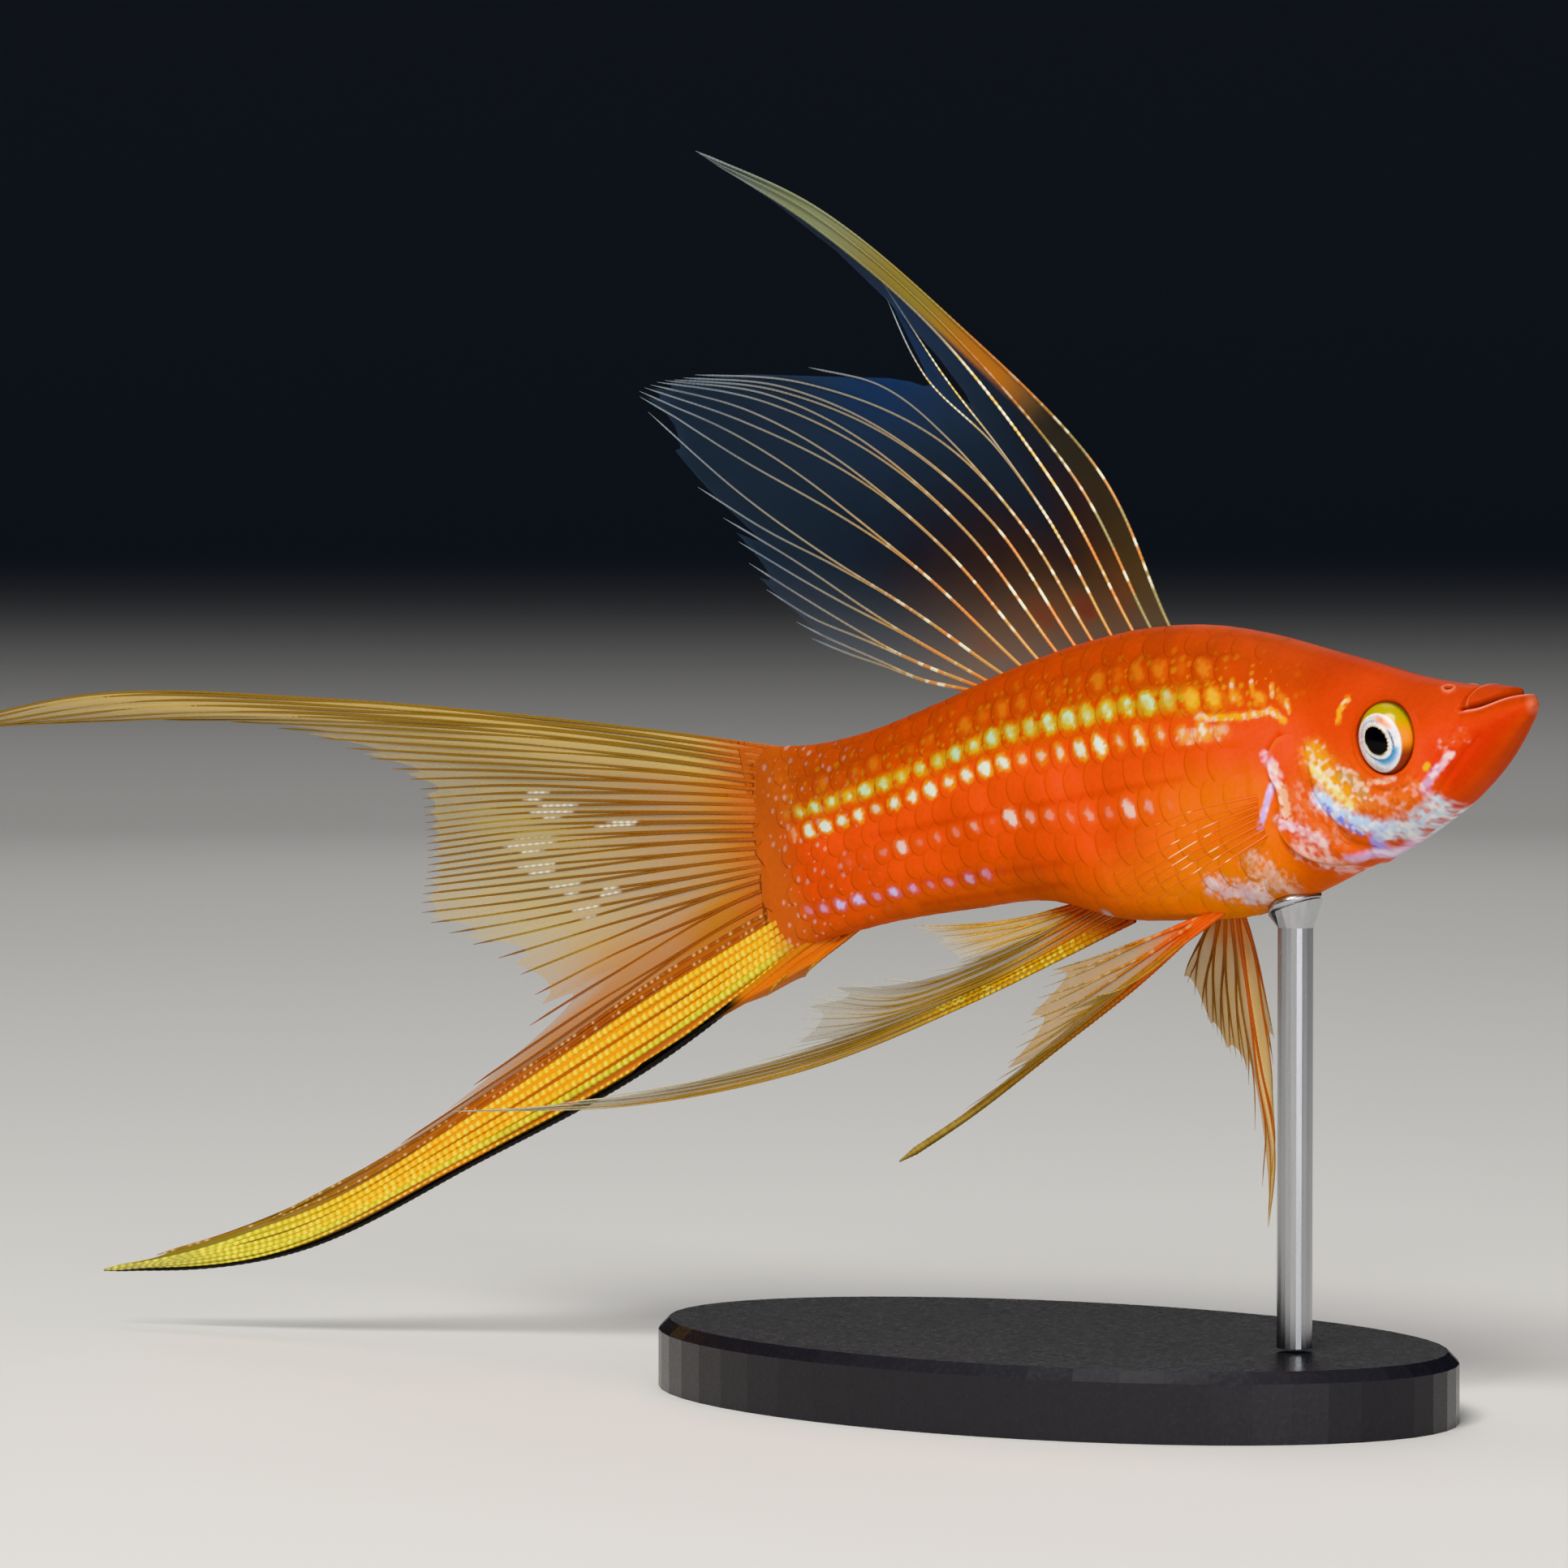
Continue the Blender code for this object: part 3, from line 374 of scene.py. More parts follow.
def skin_tint(s, h, share, side):
    """Colour of the skin, and how pearly it is there."""
    where = np.stack([s, h, 20.0 * side], axis=-1)
    v = level(s, h)
    patch, speck, fine = noise(where, 3.1) - 0.5, noise(where, 0.42), noise(where, 0.2)
    glint = noise(where + 50, 0.3)
    forward = ease(34, 23, s) * ease(17.5, 20, s)
    colour = mix(
        (240, 84, 10),
        (200, 72, 14), ease(0.15, 0.75, v + 0.25 * patch),
        (232, 98, 8), ease(-0.45, -1.0, v),
        # Brighter orange low on the flank and belly behind the head: partly the belly's own paler colour,
        # partly painted light on its bulge
        (255, 128, 6), 0.95 * forward * ease(0.12, -0.3, v) * ease(-1.0, -0.8, v),
        (255, 140, 10), 0.8 * ease(40, 25, s) * ease(20, 22, s) * ease(-0.4, -0.85, v),
        (236, 84, 30), 0.55 * ease(50, 60, s) * ease(0.5, -0.3, v),
        (196, 88, 38), 0.7 * ease(52, 64, s) * ease(-0.1, 0.5, v),
        (206, 64, 2), 0.8 * ease(17, 14, s) * ease(-0.3, 0.3, v),
        (236, 96, 8), 0.8 * ease(18.5, 16, s) * ease(9.5, 12, s) * ease(0.1, -0.3, v),
        (204, 104, 48), 0.6 * stroke(s, h, [(14.4, -3.0), (12.4, -5.2), (9.4, -5.6)], 1.9),
        (204, 46, 2), 0.9 * ease(8.5, 5.5, s) * ease(0.3, -0.3, v),
        (228, 80, 14), 0.8 * stroke(s, h, [(0.3, -0.9), (3.0, -3.7), (7.0, -6.6)], 0.5),
        (190, 60, 14), 0.6 * ease(20, 10, s) * ease(-0.85, -1.0, v),
        TAIL_ROOT, 0.9 * ease(62.0, 67.5, s + 3.0 * patch),
    )
    # Darker red lines of the muscles, and small gold and pale specks
    for points in ([(38.5, -5.5), (53.4, -4.9)], [(38.8, -7.0), (53.0, -6.5)], [(26.0, -1.2), (56.0, -1.0)]):
        colour = mix(colour, (188, 30, 4), 0.3 * stroke(s, h, points, 0.28))
    gold = dots(s, h, 0.7, 0.34) * ease(0.3, 0.45, v) * ease(0.95, 0.6, v) * ease(15, 19, s) * ease(68, 62, s)
    pale = dots(s + 0.4 * h, h - 0.3 * s, 1.0, 0.36) * ease(54, 62, s) * ease(68.2, 67.4, s)
    colour = mix(colour, (244, 176, 66), 0.6 * gold, (250, 205, 190), 0.55 * pale)
    colour = colour * (1 + 0.28 * patch + 0.12 * (fine - 0.5) - 0.14 * ease(0.1, 0.8, v))[..., None]
    shine = np.maximum(0.4 * gold, 0.3 * pale)

    torn = np.clip(2.0 * (0.5 * speck + fine + 0.5 * glint - 1), -1, 1)
    sparkle = 0.6 * ease(0.5, 0.75, glint)
    for points, width, tint, strength, broken in MARKS:
        low, high = np.min(points, axis=0) - 3 * width, np.max(points, axis=0) + 3 * width
        if not np.any((s > low[0]) & (s < high[0]) & (h > low[1]) & (h < high[1])):
            continue
        amount = ease(0.12, 0.95, stroke(s, h, points, width) * (1.0 + 0.9 * broken * torn)) * strength
        colour = mix(colour, mix(tint, WHITE, sparkle), amount)
        shine = np.maximum(shine, 0.3 * amount)

    row = row_at(s, share)
    ragged = 0.45 * (fine - 0.5) + 0.45 * (speck - 0.5)
    for number, first, last, middle, rim, strength, even in PEARLS:
        column = (s - SCALE_START) / SCALE_STEP - 0.5 * (number % 2)
        nearest = np.round(column)
        luck = noise(np.stack([nearest * 1.7, np.full_like(s, number * 5.3), 11.0 * side], axis=-1), 1.0)
        along = (column - nearest) * SCALE_STEP / PEARL_HALF_LENGTH
        across = (row - number) * ROW_STEP * SKIN_HALF_ROUND / PEARL_HALF_HEIGHT
        r = np.sqrt(along**2 + (across + 0.3 * along) ** 2) + ragged + 0.5 * (0.6 - luck)
        amount = strength * ease(first, first + 3, s) * ease(last, last - 4, s)
        amount = amount * (even + (1 - even) * 2.4 * luck**2)
        halo = np.clip(ease(1.15, 0.85, r) * amount, 0, 1)
        core = np.clip(ease(0.80, 0.40, r) * amount, 0, 1)
        colour = mix(colour, rim, halo, middle, core)
        shine = np.maximum(shine, 0.3 * np.maximum(core, 0.7 * halo))

    band = peak(row, 3, 0.34) * ease(20, 25, s) * ease(66, 62, s) * ease(0.35, 0.58, speck)
    gap, lips = h - mouth_line(s), ease(4.6, 3.9, s)
    nostril = from_nostril(s, h)
    colour = mix(
        colour,
        (228, 196, 70), 0.65 * band,
        # Painted shade: a dark line in the crease between the lips
        (120, 24, 8), 0.7 * lips * peak(gap, 0, 0.10),
        # The lower lip's pale pink edge: partly its own colour, partly a painted highlight
        (246, 168, 150), 0.75 * lips * peak(gap, -0.22, 0.12),
        # Painted shade: a dark line in the fold behind the upper lip
        (150, 26, 8), 0.6 * stroke(s, h, LIP_REAR, 0.12),
        # A pale line along the upper lip: partly its own colour, partly a painted highlight
        (255, 150, 112), 0.55 * stroke(s, h, [(3.9, 0.5), (3.85, 0.95), (3.55, 1.35), (3.1, 1.7)], 0.13),
        (245, 150, 120), 0.5 * ease(0.5, 0.1, s),
        # Painted shade: a darker ring round the eye, where the skin dips into the socket
        (170, 56, 14), 0.7 * ease(2.85, 2.5, from_eye(s, h)),
        (240, 150, 120), 0.6 * peak(nostril, 0.42, 0.14),
        # Painted shade: the nostril's pit, nearly black
        (40, 8, 4), 0.95 * ease(0.3, 0.15, nostril),
    )
    return np.clip(colour, 0, 1), np.maximum(shine, 0.3 * band)


def skin_relief(s, h):
    """How far the skin stands out from the plain body."""
    gap, lips = h - mouth_line(s), ease(4.7, 3.8, s)
    eye, nostril = from_eye(s, h), from_nostril(s, h)
    rise = 0.15 * lips * peak(gap, -0.34, 0.22) - 0.50 * lips * peak(gap, 0, 0.10)
    rise += 0.27 * ease(0.0, 0.3, gap) * ease(0.9, 1.7, s) * ease(4.15, 3.6, s + 0.5 * np.maximum(0, h - 1.0))
    rise += 0.16 * peak(nostril, 0.40, 0.15) - 0.40 * ease(0.32, 0.12, nostril)
    rise += 0.14 * peak(eye, 2.72, 0.22) - 1.9 * ease(2.58, 2.36, eye)
    rise -= 0.10 * peak(eye, 3.75, 0.22) * ease(-1.5, -2.6, h)
    rise += 0.16 * np.exp(-((s - 12.6) ** 2 + (h + 5.0) ** 2) / 4.0)
    for points, width, height in FOLDS:
        rise += height * stroke(s, h, points, width)
    return rise


def new_material(name):
    """A new material, its node tree and its shader."""
    made = bpy.data.materials.new(name)
    made.use_nodes = True
    return made, made.node_tree, made.node_tree.nodes["Principled BSDF"]


def set_inputs(tree, node, **inputs):
    """Sets a node's inputs, or links them where the value is an output. An underscore means a space."""
    for name, value in inputs.items():
        socket = node.inputs[name.replace("_", " ")]
        if isinstance(value, bpy.types.NodeSocket):
            tree.links.new(value, socket)
        else:
            socket.default_value = value


def add_node(tree, kind, output, **inputs):
    """The output of a new shader node with these inputs."""
    node = tree.nodes.new("ShaderNode" + kind)
    set_inputs(tree, node, **inputs)
    return node.outputs[output]


def add_attribute(tree, kind, output):
    node = tree.nodes.new("ShaderNodeAttribute")
    node.attribute_name = kind
    return node.outputs[output]


def add_ramp(tree, at, low, high, interpolation="LINEAR"):
    """A colour that runs from low to high with the value at."""
    node = tree.nodes.new("ShaderNodeValToRGB")
    node.color_ramp.interpolation = interpolation
    for element, colour in zip(node.color_ramp.elements, (low, high)):
        element.color = (*colour, 1)
    set_inputs(tree, node, Fac=at)
    return node.outputs["Color"]


def add_grain(tree, shader, where, scale, detail, low, high, bump, strength):
    """Noise in a shader's roughness, from low to high, and in its surface. Gives the noise."""
    grains = add_node(tree, "TexNoise", "Fac", Vector=where, Scale=scale, Detail=detail)
    rough = add_node(tree, "MapRange", "Result", Value=grains, To_Min=low, To_Max=high)
    bumps = add_node(tree, "Bump", "Normal", Height=grains, Distance=bump * MM, Strength=strength)
    set_inputs(tree, shader, Roughness=rough, Normal=bumps)
    return grains


def finish(name, slot, subsurface=0.0, coat=0.0, roughness=0.35, grain=0.25, bump=0.03, see_through=False,
           metal=True, gloss=0.5):
    """A material that takes its colour from the mesh and its roughness and fine bumps from noise."""
    made, tree, shader = new_material(name)
    set_inputs(tree, shader, Base_Color=add_attribute(tree, "tint", "Color"), Coat_Weight=coat,
               Coat_Roughness=0.12, Specular_IOR_Level=gloss)
    if metal:
        set_inputs(tree, shader, Metallic=add_attribute(tree, "shine", "Fac"))
    if see_through:
        set_inputs(tree, shader, Alpha=add_attribute(tree, "cover", "Fac"))
    if subsurface:
        set_inputs(tree, shader, Subsurface_Weight=subsurface, Subsurface_Radius=(1.0, 0.35, 0.12),
                   Subsurface_Scale=0.9 * MM)
    where = add_node(tree, "TexCoord", "Object")
    add_grain(tree, shader, where, 1 / (grain * MM), 3.0, roughness - 0.08, roughness + 0.12, bump, 0.6)
    made["slot"] = slot
    return made


def add(name, points, faces, material, tint, shine=None, cover=None, uv=None):
    """A smooth mesh object from points in millimetres, riding on the fish's body."""
    mesh = bpy.data.meshes.new(name)
    points, faces = np.asarray(points, float).reshape(-1, 3), np.asarray(faces)
    count = len(points)
    mesh.vertices.add(count)
    mesh.vertices.foreach_set("co", (points * MM).ravel())
    mesh.loops.add(faces.size)
    mesh.loops.foreach_set("vertex_index", faces.ravel())
    mesh.polygons.add(len(faces))
    mesh.polygons.foreach_set("loop_start", np.arange(len(faces)) * faces.shape[1])
    mesh.update(calc_edges=True)
    mesh.validate()
    mesh.shade_smooth()
    colours = np.ones((count, 4))
    colours[:, :3] = np.reshape(tint, (-1, 3))
    mesh.color_attributes.new("tint", "FLOAT_COLOR", "POINT").data.foreach_set("color", colours.ravel())
    for kind, values in (("shine", shine), ("cover", cover)):
        if values is not None:
            values = np.broadcast_to(np.ravel(values), count).astype(np.float32)
            mesh.attributes.new(kind, "FLOAT", "POINT").data.foreach_set("value", values)
    if uv is not None:
        loops = np.empty(len(mesh.loops), int)
        mesh.loops.foreach_get("vertex_index", loops)
        uv = np.reshape(uv, (-1, 2))[loops]
        mesh.uv_layers.new(name="OFBake").data.foreach_set("uv", uv.ravel())
    mesh.materials.append(material)
    made = bpy.data.objects.new(name, mesh)
    bpy.context.scene.collection.objects.link(made)
    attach(made, "root")
    return made


def grid_faces(rows, columns, closed=False):
    """Quads of a grid of points, row by row. A closed grid also joins its last column to its first."""
    i, j = np.meshgrid(np.arange(rows - 1), np.arange(columns if closed else columns - 1), indexing="ij")
    k = (j + 1) % columns
    a, b = i * columns + j, i * columns + k
    return np.stack([a, b, b + columns, a + columns], axis=-1).reshape(-1, 4)


def grid_uv(across, down):
    """The place in the texture of each point of a grid."""
    return np.stack(np.broadcast_arrays(across, down), axis=-1).reshape(-1, 2)


def build_skin(wet):
    rings, sides = 520, 320
    share = np.linspace(0, 1, rings)
    s = np.interp(share, [0, 0.06, 0.5, 1.0], [0.0, 1.6, 21.5, BODY_END])[:, None]
    turn = (np.arange(sides) / sides)[None, :]
    # The last rings are drawn forward by uneven waves, so that the rear edge is ragged
    s = s - 0.45 * ease(62, BODY_END, s) * (1.0 + np.sin(88 * turn + 2 * np.sin(31 * turn)))
    (s, h, w), out = body_surface(s, turn)
    rise = skin_relief(s, h) - SKIN_INSET - 0.05 * ease(18, 21, s) - 0.20 * ease(65.5, BODY_END, s)
    points = place(s, h, w) + out * rise[..., None]
    around = np.where(turn < 0.5, 2 * turn, 2 - 2 * turn) + 0 * s
    tint, shine = skin_tint(s, h, around, np.sign(w + 1e-9))
    # Each end is closed towards its middle, where as many points as the skin has sides share one place
    nose, tail = points[0].mean(axis=0) + (0.02, 0, 0), points[-1].mean(axis=0)
    points = np.concatenate([points.reshape(-1, 3), [nose] * sides, [tail] * sides])
    j = np.arange(sides)
    k = (j + 1) % sides
    count, last = rings * sides, (rings - 1) * sides
    front = np.stack([k, j, count + j, count + k], axis=1)
    rear = np.stack([last + j, last + k, count + sides + k, count + sides + j], axis=1)
    faces = np.concatenate([grid_faces(rings, sides, closed=True), front, rear])
    tint = np.concatenate([tint, tint[:1], tint[-1:]])
    shine = np.concatenate([shine, shine[:1], shine[-1:]])
    uv = [grid_uv(s / UV_LENGTH + 0.01, turn), grid_uv(0.005, turn), grid_uv(0.985, turn)]
    made = add("skin", points, faces, wet, tint, shine, uv=np.concatenate(uv))
    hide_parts("head", "torso", "tail_stem")


def scale_start(share):
    """Where the scales begin behind the head."""
    return 19.6 - 5.6 * ease(0.22, 0.0, share) - 2.2 * ease(0.75, 1.0, share)


def scale_roots():
    """Where each scale is rooted along the body, its row, and its side."""
    roots = []
    for row in range(SCALE_ROWS):
        for column in range(-4, 29):
            middle = SCALE_START + SCALE_STEP * (column + 0.5 * (row % 2))
            root = middle - ROOT_TO_MIDDLE * SCALE_LENGTH
            if root >= scale_start(float(share_at(middle, row))) and middle <= SCALE_END:
                roots += [(root, row, 1), (root, row, -1)]
    return np.array(roots, float)


def build_scales(wet):
    """Overlapping plates, each rooted under the one before it, in rows round the body."""
    roots = scale_roots()
    along, across, chunk = 18, 19, 280
    a = np.append(np.linspace(0, 1, along), 1.0)[None, :, None]
    b = np.linspace(-1, 1, across)[None, None, :]
    rim = np.zeros_like(a)
    rim[0, -1, 0] = 1.0
    length = 0.60 + 0.40 * np.sqrt(1 - 0.96 * b**2)
    reach = a * length
    jitter = np.random.default_rng(3).normal(0, 1, (len(roots), 3))[:, :, None, None]
    root, row, side = (roots[:, i][:, None, None] for i in range(3))
    s = root + SCALE_LENGTH * (1 + 0.02 * jitter[:, 0]) * a * length + 0.02 * rim
    share = np.clip(share_at(s, row + b * SCALE_HALF), 0.0005, 0.9995)
    s, share, side = np.broadcast_arrays(np.minimum(s, BODY_END - 0.05), share, side)
    (s, h, w), out = body_surface(s, np.where(side > 0, share / 2, 1 - share / 2))
    height = -SCALE_SUNK + (SCALE_SUNK + SCALE_LIFT) * reach**1.1 - 0.02 * b**4 - SCALE_RIM * rim
    height = height + 0.006 * jitter[:, 1] * reach - SKIN_INSET
    height = height * ease(BODY_END, 66, s) - 0.10 * ease(66, 69, s)
    points = place(s, h, w) + out * height[..., None]
    tint, shine = skin_tint(s, h, share, side)
    edge = ease(0.84, 1.0, reach / length + 0 * s) * (1 - 0.7 * shine)
    shade = 1 + 0.03 * jitter[:, 2] + 0 * s
    tint = mix(tint * shade[..., None], tint * np.array([0.85, 0.66, 0.6]), 0.15 * edge * ease(66, 58, s))
    lane = np.where(side > 0, 0.5, -0.5) * share_at(root + 1.2, row) % 1.0
    uv = np.stack([root / UV_LENGTH + 0.01 + 0.0015 * (2 * reach - 1) + 0 * s, lane + 0.0015 * b], axis=-1)
    faces = grid_faces(along + 1, across)
    starts = np.arange(chunk) * (along + 1) * across
    for part, first in enumerate(range(0, len(roots), chunk)):
        chosen = slice(first, min(first + chunk, len(roots)))
        left = roots[chosen, 2, None, None] < 0
        plates = faces + starts[:chosen.stop - first, None, None]
        plates = np.where(left, plates[:, :, ::-1], plates).reshape(-1, 4)
        add(f"scales_{part}", points[chosen], plates, wet, tint[chosen], shine[chosen], uv=uv[chosen])


def closed_curve(points, count):
    """A smooth closed curve through the points, as this many places."""
    points = np.array(points, float)
    ring = np.concatenate([points[-3:], points, points[:3]])
    at = np.arange(-3, len(points) + 3, dtype=float)
    return smooth(at, ring, np.linspace(0, len(points), count, endpoint=False))


def build_gill_cover(side, word, wet):
    """The bony plate behind the cheek: flush at its front, free and raised at its rear edge."""
    outline = closed_curve([*COVER_REAR, *PREOPERCLE[-2:0:-1], (16.4, 0.2)], 160)
    centre, step = np.array([16.9, -4.2]), 0.05
    levels = np.append(np.linspace(0, 1, 26) ** 0.8, [1.0, 0.995])
    drop = np.zeros(len(levels))
    drop[-2:] = 0.14, 0.32
    flat = centre + (outline[None] - centre) * levels[:, None, None]
    s, h = flat[..., 0], flat[..., 1]
    behind = s - np.interp(-h, [-q for p, q in PREOPERCLE], [p for p, q in PREOPERCLE])
    slope_s = (skin_w(s + step, h) - skin_w(s - step, h)) / (2 * step)
    slope_h = (skin_w(s, h + step) - skin_w(s, h - step)) / (2 * step)
    size = np.sqrt(1 + slope_s**2 + np.minimum(slope_h**2, 9))
    rise = -0.10 + 0.36 * ease(0, 1.6, behind) - SKIN_INSET
    rise += 0.05 * ease(0.7, 0.95, levels)[:, None] * ease(1.0, 2.0, behind) - drop[:, None]
    rise += 0.02 * np.sin(3.0 * (s + 0.5 * h)) * ease(1.0, 0.6, levels)[:, None]
    out_s, out_h = -slope_s / size, -np.clip(slope_h, -3, 3) / size
    points = place(s + out_s * rise, h + out_h * rise, side * (skin_w(s, h) + rise / size))
    share = np.clip(0.5 - 0.5 * level(s, h), 0, 1)
    tint, shine = skin_tint(s, h, share, np.full_like(s, side))
    edge = ease(0.9, 1.0, levels)[:, None] * ease(1.0, 2.2, behind)
    tint = mix(tint, (250, 150, 90), 0.45 * edge)
    faces = grid_faces(len(levels), len(outline), closed=True)
    if side > 0:
        faces = faces[:, ::-1]
    uv = grid_uv(0.1 + 0.8 * (s - 11) / 9, 0.1 + 0.8 * (h + 10) / 11)
    made = add("opercle_" + word, points, faces, wet, tint, shine, uv=uv)
    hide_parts("gill_cover_" + word)


def build_eye(side, word, glossy):
    """A wet eyeball. Its iris and pupil are painted on the dome, which bulges a little over the pupil."""
    rings, sides = 60, 128
    tilt = np.linspace(0, math.pi * 0.8, rings)[:, None]
    turn = round_angles(sides)
    x, y = EYE_WIDTH * np.sin(tilt) * np.cos(turn), EYEBALL * np.sin(tilt) * np.sin(turn)
    px, py, c, d = x - 0.2, y + 0.12, math.cos(PUPIL_LEAN), math.sin(PUPIL_LEAN)
    pupil = np.hypot((px * c - py * d) / PUPIL[0], (px * d + py * c) / PUPIL[1])
    ring = np.hypot((x - 0.26) / IRIS[0], (y + 0.28) / IRIS[1])
    grain = noise(np.stack([x, y, np.full_like(x, 4.0 * side)], axis=-1), 0.22)
    streak = noise(np.stack([np.arctan2(y, x) * 2.2, ring * 0.4, np.zeros_like(x)], axis=-1), 0.16)
    top, fore = ease(-0.4, 1.6, y), ease(0.6, -1.4, x)
    gold = mix((150, 60, 10), (255, 150, 20), fore, (178, 158, 16), top)
    silver = mix((236, 238, 244), (250, 250, 250), grain, (176, 178, 194), 0.25 * ease(0.45, 0.75, streak))
    dark_line = peak(pupil, 1.38, 0.07) * (ring < 0.98) * (0.35 + 0.6 * ease(0.4, -0.8, x + y))
    blue = peak(pupil, 1.5, 0.22) * ease(-0.5, -0.95, y) * ease(0.9, 0.0, x)
    glow = peak(pupil, 1.6, 0.25) * ease(0.3, 1.0, y) * ease(0.6, -0.4, x)
    colour = mix(
        (150, 52, 14),
        gold, np.clip(top + fore * ease(-1.4, -0.2, y), 0, 1),
        (70, 30, 14), 0.8 * ease(0.93, 1.0, np.hypot(x / EYE_WIDTH, y / EYEBALL)),
        silver, ease(1.0, 0.95, ring),
        (30, 50, 90), dark_line,
        (40, 150, 205), 0.85 * blue,
        (250, 140, 30), 0.9 * glow * ease(1.0, 0.9, ring),
        (215, 175, 60), 0.6 * peak(pupil, 1.07, 0.05),
        (6, 6, 10), ease(1.04, 0.98, pupil),
    )
    bulge = 0.14 * peak(pupil, 0, 1.3) * (tilt < 1.4)
    centre_w = float(skin_w(EYE_S, EYE_H)) - EYE_INSET
    out = centre_w + EYE_DEPTH * np.cos(tilt) + bulge + EYE_LEAN * x
    shine = 0.25 * ease(1.0, 0.9, ring) * ease(0.98, 1.1, pupil)
    faces = grid_faces(rings, sides, closed=True)
    if side > 0:
        faces = faces[:, ::-1]
    uv = grid_uv(0.5 + 0.15 * tilt * np.cos(turn), 0.5 + 0.15 * tilt * np.sin(turn))
    points = place(EYE_S + x, EYE_H + y, side * out)
    made = add("eyeball_" + word, points, faces, glossy, colour, shine, uv=uv)
    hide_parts("eye_" + word)


def caudal_warp(u, t):
    """Draws the sword's rays, and those of the upper streamer, together to a point."""
    sword = 0.9 * ease(0.80, 1.0, t) * ease(0.69, 0.74, u) * ease(0.95, 0.94, u)
    upper = 0.8 * ease(0.92, 1.0, t) * ease(0.09, 0.045, u)
    return u + (0.86 - u) * sword - u * upper


def steady_slopes(places, values):
    """Slopes of a curve through the values that never swings past them."""
    rise = np.diff(values, axis=0) / np.diff(places)[:, None, None]
    before, after = np.concatenate([rise[:1], rise]), np.concatenate([rise, rise[-1:]])
    same = before * after > 0
    return np.where(same, 2 * before * after / np.where(same, before + after, 1.0), 0.0)


class Fin:
    """A fan of curves like that in the part's source, read at any place across and out."""

    def __init__(self, keys, count, spread, warp=lambda u, t: u):
        self.places = np.array(list(keys))
        self.curves = np.array(list(keys.values()))
        self.rays = np.linspace(0, 1, count)
        self.spread = spread
        self.warp = warp
        self.lengths = np.array([self.length(u) for u in self.rays])

    def at(self, u, t):
        """Places (s, h, w): u across the fan from its first ray to its last, t out along the ray."""
        u, t = np.broadcast_arrays(np.asarray(u, float), np.asarray(t, float))
        shape, u, t = u.shape, u.ravel(), t.ravel()
        u = self.warp(u, t)
        along = np.linspace(0, 1, self.curves.shape[1])
        keys = np.array([smooth(along, curve, t) for curve in self.curves])
        slopes = steady_slopes(self.places, keys)
        i = np.clip(np.searchsorted(self.places, u, side="right") - 1, 0, len(self.places) - 2)
        step = (self.places[i + 1] - self.places[i])[:, None]
        x = np.clip((u - self.places[i])[:, None] / step, 0, 1)
        n = np.arange(len(t))
        flat = hermite(x, step, keys[i, n], keys[i + 1, n], slopes[i, n], slopes[i + 1, n])
        return np.column_stack([flat, self.spread(u, t)]).reshape(*shape, 3)

    def length(self, u):
        line = self.at(u, np.linspace(0, 1, 30))
        return float(np.linalg.norm(np.diff(line, axis=0), axis=1).sum())


DORSAL = Fin(
    {
        0.000: [(28.9, 10.5), (33.1, 22.3), (43.9, 35.0), (54.9, 45.4), (67.1, 52.7)],
        0.083: [(30.5, 10.5), (35.1, 21.9), (44.6, 34.6), (55.2, 44.9), (66.9, 52.5)],
        0.167: [(32.1, 10.6), (36.8, 21.5), (45.4, 34.2), (55.6, 44.2), (66.5, 52.2)],
        0.229: [(33.6, 10.6), (37.1, 18.4), (41.4, 25.8), (46.5, 32.7), (51.1, 39.8)],
        0.271: [(34.4, 10.5), (37.5, 18.0), (42.0, 25.0), (47.5, 31.2), (50.8, 38.4)],
        0.312: [(35.3, 10.4), (39.3, 18.4), (44.2, 25.7), (51.0, 31.3), (59.3, 34.6)],
        0.354: [(36.1, 10.3), (41.0, 19.8), (49.0, 27.8), (59.4, 33.3), (70.7, 36.1)],
        0.417: [(37.3, 10.2), (42.9, 19.9), (51.3, 27.8), (61.4, 33.2), (72.3, 36.1)],
        0.500: [(39.0, 10.0), (45.2, 19.4), (53.4, 27.2), (63.1, 32.9), (74.1, 36.3)],
        0.583: [(40.8, 9.8), (47.5, 18.6), (55.7, 26.0), (65.1, 31.8), (75.3, 36.2)],
        0.667: [(42.5, 9.6), (49.9, 17.3), (58.2, 24.1), (66.9, 30.2), (76.1, 35.9)],
        0.729: [(43.8, 9.3), (51.7, 15.6), (59.9, 21.4), (67.9, 27.4), (75.2, 34.4)],
        0.771: [(44.6, 9.1), (51.1, 14.1), (57.8, 18.6), (64.7, 23.1), (71.3, 27.8)],
        0.833: [(45.7, 8.9), (51.4, 12.6), (57.1, 16.3), (62.7, 20.2), (68.4, 24.0)],
        0.917: [(46.8, 8.7), (51.9, 11.2), (56.9, 14.0), (61.8, 16.9), (66.5, 20.2)],
        1.000: [(47.7, 8.5), (51.3, 9.7), (54.8, 11.3), (58.4, 12.9), (61.8, 14.6)],
    },
    13,
    lambda u, t: 0.5 * t * np.sin(5 * u + 2.5 * t) - 1.0 * t * t,
)
